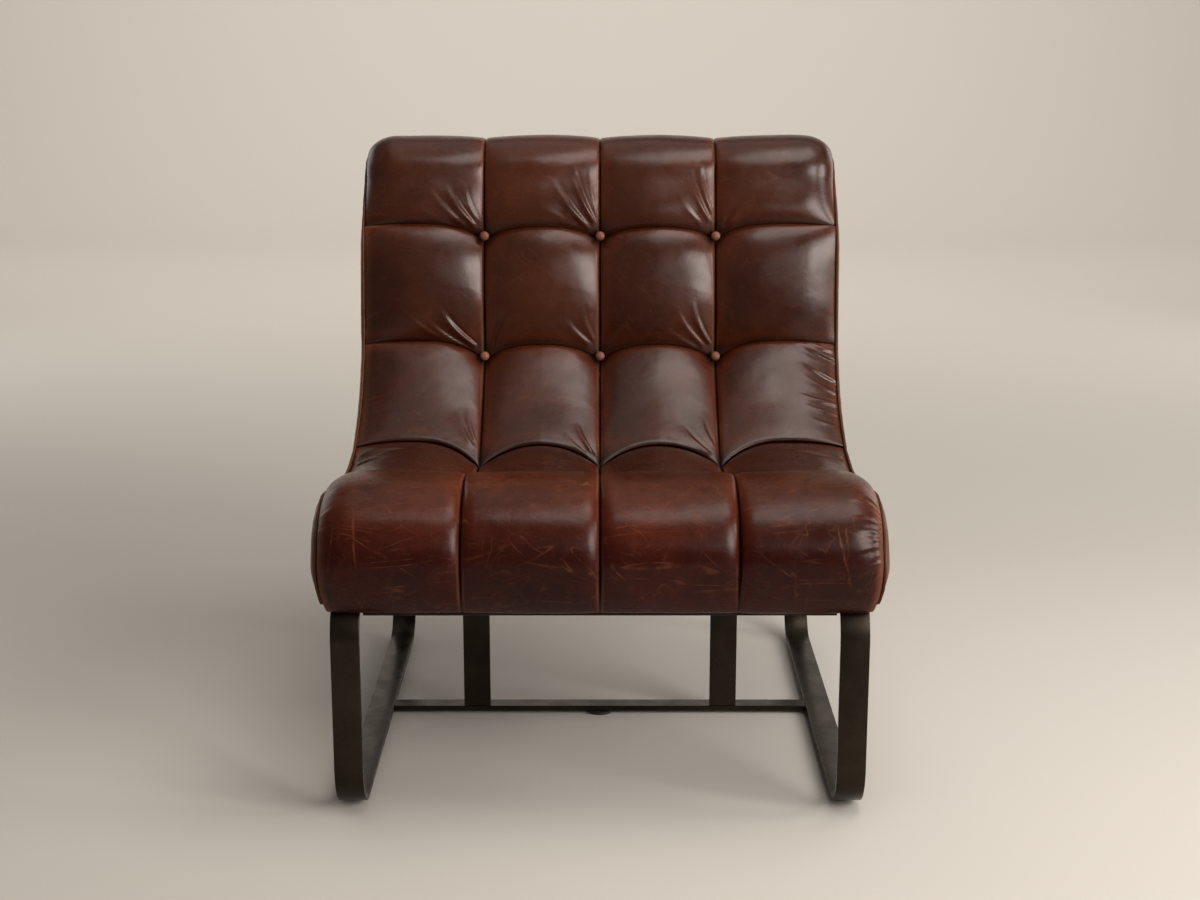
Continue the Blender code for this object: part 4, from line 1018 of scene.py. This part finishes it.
class Wiring:
    """Short ways to add and join shader nodes"""

    def __init__(self, tree):
        self.tree = tree

    def node(self, kind, inputs=None, **settings):
        """A new node with these settings, its inputs linked or set"""
        item = self.tree.nodes.new("ShaderNode" + kind)
        for key, value in settings.items():
            setattr(item, key, value)
        for key, value in (inputs or {}).items():
            self.feed(item.inputs[key], value)
        return item

    def feed(self, socket, value):
        """Link a socket, or set its value"""
        if isinstance(value, bpy.types.NodeSocket):
            self.tree.links.new(value, socket)
        elif isinstance(value, (tuple, list)) and socket.type == "RGBA":
            socket.default_value = (*value[:3], 1.0)
        else:
            socket.default_value = value

    def math(self, operation, a, b=0.0):
        return self.node("Math", {0: a, 1: b}, operation=operation).outputs[0]

    def times(self, a, b):
        return self.math("MULTIPLY", a, b)

    def plus(self, a, b):
        return self.math("ADD", a, b)

    def less(self, a, b):
        return self.math("SUBTRACT", a, b)

    def most(self, a, b):
        return self.math("MAXIMUM", a, b)

    def from_middle(self, noise):
        """How far a noise is from its middle value, on either side"""
        return self.math("ABSOLUTE", self.less(noise, 0.5))

    def mix(self, factor, a, b, blend="MIX"):
        item = self.node("Mix", {0: factor, 6: a, 7: b}, data_type="RGBA", blend_type=blend,
                         clamp_factor=True)
        return item.outputs[2]

    def toned(self, colour, red, rest=None):
        """A colour times one tone, or times one for its red and one for its green and blue"""
        rest = red if rest is None else rest
        tone = self.node("CombineColor", {0: red, 1: rest, 2: rest}).outputs[0]
        return self.mix(1.0, colour, tone, "MULTIPLY")

    def fade(self, value, low, high, to_low=0.0, to_high=1.0):
        """A smooth step from to_low to to_high while the value goes from low to high"""
        item = self.node("MapRange", {"Value": value, "From Min": low, "From Max": high,
                                      "To Min": to_low, "To Max": to_high},
                         interpolation_type="SMOOTHSTEP")
        return item.outputs[0]

    def fall(self, value, low, high):
        """A smooth step down from 1 to 0"""
        return self.fade(value, low, high, 1.0, 0.0)

    def noise(self, vector, scale, detail=4.0, rough=0.55, bend=0.0):
        item = self.node("TexNoise", {"Vector": vector, "Scale": scale, "Detail": detail,
                                      "Roughness": rough, "Distortion": bend})
        return item.outputs[0]

    def placed(self, vector, scale=(1, 1, 1), turn=(0, 0, 0), shift=(0, 0, 0)):
        """A place that is stretched, turned and shifted"""
        item = self.node("Mapping", {"Vector": vector, "Scale": scale, "Rotation": turn,
                                     "Location": shift})
        return item.outputs[0]

    def mark(self, name):
        """A mark of the leather's points, such as the distance to the nearest seam"""
        return self.node("Attribute", attribute_name=name).outputs["Fac"]

    def bump(self, strength, depth, height, **others):
        return self.node("Bump", {"Strength": strength, "Distance": depth, "Height": height,
                                  **others}).outputs[0]

    def group(self, tree, inputs):
        """A shared group's outputs, with these inputs"""
        item = self.node("Group")
        item.node_tree = tree
        for key, value in inputs.items():
            self.feed(item.inputs[key], value)
        return item.outputs


def shared_group(name, values, outputs, build):
    """A node group made once and then placed in every material that needs it. It takes a
    place and these values, and puts out masks or heights"""
    tree = bpy.data.node_groups.get(name)
    if tree:
        return tree
    tree = bpy.data.node_groups.new(name, "ShaderNodeTree")
    add = tree.interface.new_socket
    add("Vector", in_out="INPUT", socket_type="NodeSocketVector")
    for label, default in values.items():
        add(label, in_out="INPUT", socket_type="NodeSocketFloat").default_value = default
    for label in outputs:
        add(label, in_out="OUTPUT", socket_type="NodeSocketFloat")
    given = tree.nodes.new("NodeGroupInput").outputs
    taken = tree.nodes.new("NodeGroupOutput").inputs
    w = Wiring(tree)
    for label, socket in build(w, given["Vector"], given).items():
        w.feed(taken[label], socket)
    return tree


def leather_grain():
    """Pores and fine creases, as a height"""
    def build(w, spot, given):
        pores = w.node("TexVoronoi", {"Vector": spot, "Scale": given["Scale"],
                                      "Smoothness": 0.6}, feature="SMOOTH_F1").outputs[0]
        pores = w.fade(pores, 0.05, 0.75)
        wide = w.noise(spot, 160.0, 5.0, 0.62)
        veins = w.from_middle(w.noise(spot, given["Crease scale"], 4.0, 0.6, 0.8))
        creases = w.times(w.fall(veins, 0.0, 0.045), given["Creases"])
        height = w.plus(w.times(pores, 0.30), w.times(wide, 0.7))
        return {"Height": w.less(height, creases)}
    return shared_group("leather grain", {"Scale": 900.0, "Crease scale": 26.0, "Creases": 0.5},
                        ("Height",), build)


# Layers of thin scratches: turn in radians, scale along and across them, seed and strength
SCRATCHES = ((0.05, 2.6, 44.0, 0.3, 0.8), (-0.22, 3.4, 52.0, 7.3, 0.55),
             (-0.66, 3.0, 46.0, 5.1, 1.0), (0.44, 3.0, 50.0, 2.9, 0.6),
             (1.25, 4.0, 46.0, 8.7, 0.5))
SCRATCH_BEND = 0.028  # how far their lines are bent out of straight


def wax_pull():
    """Slow patches where the wax has moved, and thin scratches across them"""
    def build(w, spot, _):
        patches = w.fade(w.noise(spot, 6.5, 5.0, 0.6, 0.6), 0.38, 0.70)
        cloud = w.fade(w.noise(spot, 34.0, 6.0, 0.68, 0.8), 0.38, 0.80)
        patches = w.plus(w.times(patches, 0.55), w.times(cloud, 0.45))
        warp = w.node("TexNoise", {"Vector": spot, "Scale": 6.0, "Detail": 0.5})
        bent = w.node("VectorMath", {0: warp.outputs[1], 1: (SCRATCH_BEND,) * 3,
                                     2: spot}, operation="MULTIPLY_ADD").outputs[0]
        scratches = w.fade(w.noise(spot, 60.0, 5.0, 0.7, 0.5), 0.52, 0.80, 0.0, 0.3)
        for turn, long, thin, seed, strength in SCRATCHES:
            turned = w.placed(bent, turn=(0.0, turn, 0.0))
            place = w.placed(turned, (long, thin, thin), shift=(seed, seed, seed))
            off = w.from_middle(w.noise(place, 1.0, 1.0, 0.5))
            line = w.fade(off, 0.0, 0.020, strength, 0.0)
            where = w.times(w.fade(w.noise(turned, 11.0 + seed, 4.0, 0.6), 0.44, 0.68),
                            w.fade(w.noise(turned, 42.0 + seed, 2.0, 0.5), 0.36, 0.56))
            scratches = w.most(scratches, w.times(line, where))
        return {"Patches": patches, "Scratches": scratches}
    return shared_group("wax pull", {}, ("Patches", "Scratches"), build)


def rub_streak():
    """A rubbed streak that runs up the leather at one place across the chair"""
    def build(w, spot, given):
        axes = w.node("SeparateXYZ", {0: spot}).outputs
        sway = w.times(w.less(w.noise(spot, 24.0, 4.0), 0.5), 16 * MM)
        lean = w.times(axes["Z"], given["Lean"])
        aside = w.math("ABSOLUTE", w.plus(w.less(axes["X"], given["Place"]),
                                          w.plus(sway, lean)))
        mask = w.fall(aside, 0.0, given["Width"])
        broken = w.fade(w.noise(spot, 48.0, 5.0, 0.75), 0.36, 0.66)
        begins = w.fade(axes["Z"], given["Foot"], w.plus(given["Foot"], 30 * MM))
        ends = w.fall(axes["Z"], w.less(given["Head"], 20 * MM), given["Head"])
        ahead = w.fall(axes["Y"], LEG_FACE + 60 * MM, LEG_FACE + 90 * MM)
        mask = w.times(w.times(mask, w.times(begins, ends)), ahead)
        return {"Streak": w.times(mask, broken)}
    return shared_group("rub streak", {"Place": 0.0, "Lean": 0.0, "Width": 0.003, "Foot": 0.3,
                                       "Head": 0.4}, ("Streak",), build)


def fold_wear_and_shade():
    """Painted shade in seams, folds and round tufts, and rubbed edges, from how far a point is from
    its seam, tuft and rim
    """
    def build(w, spot, _):
        seam, tuft, above = w.mark("seam"), w.mark("tuft"), w.mark("above")
        ragged = w.noise(spot, 70.0, 5.0, 0.66)

        def near(mark, spread, low, high):
            """1 close to the mark, 0 past high, with a ragged border. All in millimetres"""
            return w.fall(w.plus(mark, w.times(ragged, -spread * MM)), low * MM, high * MM)

        off = w.plus(seam, w.times(ragged, -2.2 * MM))
        here = w.fade(w.noise(spot, 9.0, 3.0), 0.32, 0.6)
        line = w.times(w.fall(off, 2.2 * MM, 5 * MM),
                       w.times(w.fade(off, -0.6 * MM, 1.2 * MM), here))
        burn = w.most(near(seam, 12, 0, 17), near(tuft, 30, 0, 38))
        rim = near(w.mark("edge"), 10, -2, 10)
        # Painted shade: darker in each seam's groove, round each tuft, and just above each fold
        # where the upper panel rolls under
        under = w.times(w.fall(above, 0.0, 18 * MM), w.fade(above, -MM, 0.3 * MM))
        tuft_and_fold_shade = w.most(w.fall(tuft, 4 * MM, 34 * MM), under)
        painted_shade = w.most(w.fall(seam, 0.3 * MM, 2.3 * MM), w.times(tuft_and_fold_shade, 0.82))
        return {"Line": line, "Burn": burn, "Rim": rim, "Dark": painted_shade}
    return shared_group("fold wear", {}, ("Line", "Burn", "Rim", "Dark"), build)


# For each finish: wax patches, scratches, rubbed line at seams, burnt tone at seams and tufts, rub
# at rims, painted shade in seams, folds and round tufts, roughness, creases, bump and shine
LEATHERS = {
    "quilted": (0.46, 0.10, 0.18, 0.62, 0.10, 0.95, 0.27, 0.12, 0.22, 0.25),
    "worn": (0.88, 0.22, 0.16, 0.45, 0.22, 0.92, 0.29, 0.28, 0.42, 0.14),
    "side": (0.80, 0.15, 0.20, 0.45, 0.22, 0.92, 0.32, 0.28, 0.42, 0.14),
    "outside": (0.80, 0.14, 0.16, 0.30, 0.20, 0.92, 0.32, 0.28, 0.42, 0.14),
    "edge": (0.55, 0.15, 0.0, 0.0, 0.62, 0.85, 0.38, 0.15, 0.4, 0.15),
    "button": (0.35, 0.10, 0.0, 0.0, 0.0, 0.0, 0.38, 0.2, 0.4, 0.17),
}
# Streaks on the front roll: lean, then in millimetres the place across the chair, the half
# width, and the foot and head above the top bars
STREAKS = ((0.04, -309, 2.6, 40, 125), (0.24, 326, 2.6, 12, 120),
           (-0.10, -352, 2.0, 30, 105), (0.05, 318, 1.8, 50, 118))


def new_finish(name):
    """A new material, its wiring, its shader and the place on the object"""
    material = bpy.data.materials.new(name)
    material.use_nodes = True
    w = Wiring(material.node_tree)
    shader = material.node_tree.nodes["Principled BSDF"]
    return material, w, shader, w.node("TexCoord").outputs["Object"]


def leather_finish(kind):
    """Waxed leather that shows lighter where it is rubbed or stretched"""
    made = bpy.data.materials.get("leather_" + kind)
    if made:
        return made
    look = bpy.context.scene.chair_leather
    patch, scratch, line, burn, rim, painted_shade, rough, crease, bump, shine = LEATHERS[kind]
    material, w, shader, place = new_finish("leather_" + kind)
    turn = math.pi / 2 if kind == "side" else 0.0
    wax = w.group(wax_pull(), {"Vector": w.placed(place, turn=(0.0, 0.0, turn))})
    colour = look.button if kind == "button" else look.body
    colour = w.mix(w.times(wax["Patches"], patch), tuple(colour), tuple(look.pulled))
    colour = w.toned(colour, w.fade(w.noise(place, 4.0, 4.0, 0.6), 0.30, 0.70, 0.66, 1.30))
    # Scratches and rubbed edges share one mask, which also makes the leather duller
    rubbed = w.times(wax["Scratches"], scratch)
    outer = kind in ("worn", "side", "outside")
    if outer:
        rubbed = w.times(rubbed, w.fade(w.mark("edge"), 0.0, 0.2, 1.4, 1.0))
    if kind != "button":
        wear = w.group(fold_wear_and_shade(), {"Vector": place})
        colour = w.mix(w.times(wear["Burn"], burn), colour, tuple(look.burnt))
        rubbed = w.most(rubbed, w.times(wear["Line"], line))
        rubbed = w.most(rubbed, w.times(wear["Rim"], rim))
    if outer:
        # Painted light and shade: the outer leather is painted darker and redder low down, and
        # lighter high up
        low = w.fade(w.node("SeparateXYZ", {0: place}).outputs[2], SLED_TOP + 50 * MM,
                     SLED_TOP + 155 * MM, 0.55, 1.35)
        colour = w.toned(colour, low, w.times(w.times(low, low), 0.72))
    if kind == "worn":
        for lean, across, width, foot, head in STREAKS:
            streak = w.group(rub_streak(), {
                "Vector": place, "Place": across * MM + lean * SLED_TOP, "Lean": lean,
                "Width": width * MM, "Foot": SLED_TOP + foot * MM, "Head": SLED_TOP + head * MM})
            rubbed = w.most(rubbed, w.times(streak["Streak"], 0.26))
    colour = w.mix(rubbed, colour, tuple(look.rubbed))
    # Painted shade in seams, folds and round tufts, in the deep colour
    if kind != "button":
        colour = w.mix(w.times(wear["Dark"], painted_shade), colour, tuple(look.deep))
    w.feed(shader.inputs["Base Color"], colour)
    # Gloss, a thin coat of wax, fine grain and a slow swell
    gloss = w.fade(w.noise(place, 26.0, 6.0, 0.66), 0.3, 0.7, rough - 0.05, rough + 0.08)
    w.feed(shader.inputs["Roughness"], w.plus(gloss, w.times(rubbed, 0.25)))
    shader.inputs["Specular IOR Level"].default_value = shine
    shader.inputs["Specular Tint"].default_value = (1.0, 0.93, 0.88, 1.0)
    shader.inputs["Coat Weight"].default_value = 0.5 * shine
    shader.inputs["Coat Roughness"].default_value = 0.24
    grain = w.group(leather_grain(), {"Vector": place, "Creases": crease})
    relief = w.bump(bump, 0.35 * MM, grain["Height"])
    w.feed(shader.inputs["Normal"], w.bump(0.5, 1.4 * MM, w.noise(place, 30.0, 2.0, 0.5, 0.4),
                                           Normal=relief))
    return material


def steel_finish():
    """Dark bronze finish on flat bar, with a fine pebbled skin"""
    made = bpy.data.materials.get("dark_bronze")
    if made:
        return made
    look = bpy.context.scene.chair_base
    material, w, shader, place = new_finish("dark_bronze")
    cloud = w.fade(w.noise(place, 9.0, 5.0, 0.6, 0.3), 0.3, 0.7, 0.75, 1.5)
    speck = w.fade(w.noise(place, 420.0, 2.0), 0.66, 0.74)
    colour = w.mix(w.times(speck, 0.05), w.toned(tuple(look.bronze), cloud), tuple(look.bright))
    w.feed(shader.inputs["Base Color"], colour)
    w.feed(shader.inputs["Roughness"], w.fade(w.noise(place, 30.0, 5.0, 0.6), 0.3, 0.7,
                                              0.26, 0.42))
    shader.inputs["Metallic"].default_value = 0.8
    shader.inputs["Specular IOR Level"].default_value = 0.3
    w.feed(shader.inputs["Normal"], w.bump(0.35, 0.12 * MM, w.noise(place, 700.0, 3.0)))
    return material


def plain_finish(name, colour, low, high, scale, rough, metallic=0.0, stretch=(1, 1, 1),
                 bump=0.3, depth=0.2):
    """A simple procedural finish: two tones of one colour, with grain in its gloss and height"""
    made = bpy.data.materials.get(name)
    if made:
        return made
    material, w, shader, place = new_finish(name)
    grain = w.noise(w.placed(place, stretch), scale, 6.0, 0.62)
    w.feed(shader.inputs["Base Color"],
           w.toned(tuple(colour), w.fade(grain, 0.3, 0.7, low, high)))
    w.feed(shader.inputs["Roughness"], w.fade(grain, 0.3, 0.7, rough - 0.06, rough + 0.08))
    shader.inputs["Metallic"].default_value = metallic
    w.feed(shader.inputs["Normal"], w.bump(bump, depth * MM, grain))
    return material


def cloth_finish():
    """Black woven cloth"""
    made = bpy.data.materials.get("black_cloth")
    if made:
        return made
    material, w, shader, place = new_finish("black_cloth")
    threads = [w.node("TexWave", {"Vector": place, "Scale": 260.0, "Distortion": 0.4},
                      wave_type="BANDS", bands_direction=axis).outputs[1] for axis in "XY"]
    weave = w.times(threads[0], threads[1])
    colour = tuple(bpy.context.scene.chair_base.cloth)
    w.feed(shader.inputs["Base Color"], w.toned(colour, w.fade(weave, 0.0, 1.0, 0.55, 1.5)))
    shader.inputs["Roughness"].default_value = 0.9
    shader.inputs["Sheen Weight"].default_value = 0.15
    w.feed(shader.inputs["Normal"], w.bump(0.5, 0.2 * MM, weave))
    return material


class CHAIR_OT_frame_finish(ChairOperator, bpy.types.Operator):
    """Finish the steel bars, glides, bolts and the timber inside"""
    bl_idname = "chair.frame_finish"
    bl_label = "Base and inner frame"

    def execute(self, context):
        look = context.scene.chair_base
        steel = steel_finish()
        plastic = plain_finish("glide_plastic", look.plastic, 0.8, 1.3, 240.0, 0.5)
        bare = plain_finish("bare_steel", look.bright, 0.6, 1.1, 90.0, 0.34, 1.0, (1, 1, 6))
        timber = plain_finish("inner_timber", look.timber, 0.62, 1.25, 26.0, 0.62, 0.0,
                              (1, 9, 9), 0.4, 0.4)
        cloth = cloth_finish()
        by_name = {"sled": steel, "upright": steel, "floor": steel, "middle": steel,
                   "front": steel, "rear": steel, "glide": plastic, "centre": plastic,
                   "bolt": bare, "seat": bare, "ply": timber, "lumbar": timber,
                   "top": timber, "dust": cloth, "back": cloth}
        for name, node in NODES.items():
            material = by_name.get(name.split("_")[0])
            if name in ("front_timber", "rear_timber"):
                material = timber
            if material:
                if not node.data.materials:
                    node.data.materials.append(material)
                for slot in node.material_slots:
                    slot.material = material
        return {"FINISHED"}


# The floor that turns up into a wall behind the chair, and the even light of the room
FLOOR_SIDE, WALL_PLACE, WALL_HEIGHT, WALL_ROUND = 32, 8, 12, 2.5
ROOM_COLOUR, ROOM_STRENGTH = (0.95, 0.92, 0.88, 1), 0.19
SENSOR_WIDTH = 36
# Name, place, aim, width, height, spread in degrees, power and colour of each lamp
STUDIO_LAMPS = (
    ("window", (2.2, -2.05, 1.6), (0, -0.4, 0.6), 1.5, 1.5, 150, 67, (1.0, 0.97, 0.94)),
    ("front", (1.2, -3.0, 1.7), (0, -0.3, 0.6), 2.2, 1.0, 150, 8, (1.0, 0.98, 0.96)),
    ("side", (2.9, -0.5, 1.2), (0, -0.3, 0.5), 0.7, 1.6, 180, 50, (1.0, 0.98, 0.97)),
    ("ceiling", (0.6, -0.55, 2.8), (0, 0, 0.4), 2.2, 1.1, 180, 38, (1.0, 0.97, 0.94)),
    ("overhead", (1.5, 0.8, 6.5), (1.5, 0.8, 0), 8.0, 7.0, 180, 110, (1.0, 0.98, 0.95)),
    ("left_rear", (-2.8, 2.4, 1.3), (0, 0.3, 0.5), 1.8, 1.8, 180, 13, (0.98, 0.98, 1.0)),
    ("right_rear", (2.8, 2.6, 1.3), (0, 0.3, 0.5), 1.8, 1.8, 180, 16, (1.0, 0.98, 0.97)),
    ("backdrop", (0, 3.2, 4.6), (0, 8, 2.2), 8.0, 2.0, 180, 460, (1.0, 0.98, 0.96)))


class CHAIR_OT_stage(ChairOperator, bpy.types.Operator):
    """Set the floor, the backdrop, the lights and the camera"""
    bl_idname = "chair.stage"
    bl_label = "Stage"

    def execute(self, context):
        settings = context.scene.chair_stage
        choose_none()
        bpy.ops.mesh.primitive_plane_add(size=FLOOR_SIDE,
                                         location=(0, WALL_PLACE - FLOOR_SIDE / 2, 0))
        floor = context.object
        floor.name = "studio_floor"
        bpy.ops.object.transform_apply(location=True)
        select_where(floor, "edges", lambda edge: all(
            floor.data.vertices[i].co.y > WALL_PLACE - 0.1 for i in edge.vertices))
        edit(floor, lambda: bpy.ops.mesh.extrude_region_move(
            TRANSFORM_OT_translate={"value": (0, 0, WALL_HEIGHT)}))
        floor.modifiers.new("round corner", "BEVEL").width = WALL_ROUND
        floor.modifiers["round corner"].segments = 16
        bpy.ops.object.shade_smooth()
        material = bpy.data.materials.new("studio_paper")
        material.use_nodes = True
        shader = material.node_tree.nodes["Principled BSDF"]
        shader.inputs["Base Color"].default_value = (*settings.floor, 1)
        shader.inputs["Roughness"].default_value = 0.85
        floor.data.materials.append(material)
        for name, place, aim, size, tall, spread, power, colour in STUDIO_LAMPS:
            lamp = bpy.data.lights.new(name, "AREA")
            lamp.shape = "RECTANGLE"
            lamp.spread = math.radians(spread)
            lamp.size, lamp.size_y, lamp.energy, lamp.color = size, tall, power, colour
            item = bpy.data.objects.new(name, lamp)
            item.location = place
            item.rotation_euler = (Vector(aim) - Vector(place)).to_track_quat("-Z", "Y").to_euler()
            item.visible_camera = False
            context.collection.objects.link(item)
        world = context.scene.world or bpy.data.worlds.new("studio")
        context.scene.world = world
        world.use_nodes = True
        background = world.node_tree.nodes["Background"].inputs
        background[0].default_value, background[1].default_value = ROOM_COLOUR, ROOM_STRENGTH
        lens = bpy.data.cameras.new("camera")
        lens.lens = settings.camera_lens
        lens.sensor_width = SENSOR_WIDTH
        camera = bpy.data.objects.new("camera", lens)
        camera.location = (0, LEG_FACE - settings.camera_back, settings.camera_height)
        camera.rotation_euler = (math.pi / 2 - settings.camera_pitch, 0, 0)
        context.collection.objects.link(camera)
        context.scene.camera = camera
        context.scene.view_settings.view_transform = "Standard"
        return {"FINISHED"}


PIECES = (CHAIR_OT_back_cushion, CHAIR_OT_seat_cushion, CHAIR_OT_front_roll,
          CHAIR_OT_side_panels, CHAIR_OT_folded_seams, CHAIR_OT_buttons,
          CHAIR_OT_outside_back, CHAIR_OT_sleds, CHAIR_OT_frame_finish, CHAIR_OT_stage)
SETTINGS = (("chair_body", ChairBodySizes), ("chair_quilt", ChairQuiltSizes),
            ("chair_leather", ChairLeatherLook), ("chair_base", ChairBaseLook),
            ("chair_stage", ChairStageSettings))


class CHAIR_PT_panel(bpy.types.Panel):
    """The chair's pieces and settings"""
    bl_idname = "CHAIR_PT_panel"
    bl_label = "Leather slipper chair"
    bl_space_type = "VIEW_3D"
    bl_region_type = "UI"
    bl_category = "Chair"

    def draw(self, context):
        for piece in PIECES:
            self.layout.operator(piece.bl_idname)
        for name, group in SETTINGS:
            box = self.layout.box()
            box.label(text=group.__doc__)
            for field in group.__annotations__:
                box.prop(getattr(context.scene, name), field)


def register():
    for name, group in SETTINGS:
        bpy.utils.register_class(group)
        setattr(bpy.types.Scene, name, PointerProperty(type=group))
    for piece in PIECES + (CHAIR_PT_panel,):
        bpy.utils.register_class(piece)


def unregister():
    for piece in reversed(PIECES + (CHAIR_PT_panel,)):
        bpy.utils.unregister_class(piece)
    for name, group in reversed(SETTINGS):
        delattr(bpy.types.Scene, name)
        bpy.utils.unregister_class(group)


def main():
    """Makes every piece in order"""
    register()
    for piece in PIECES:
        family, action = piece.bl_idname.split(".")
        getattr(getattr(bpy.ops, family), action)()


if __name__ == "__main__":
    main()
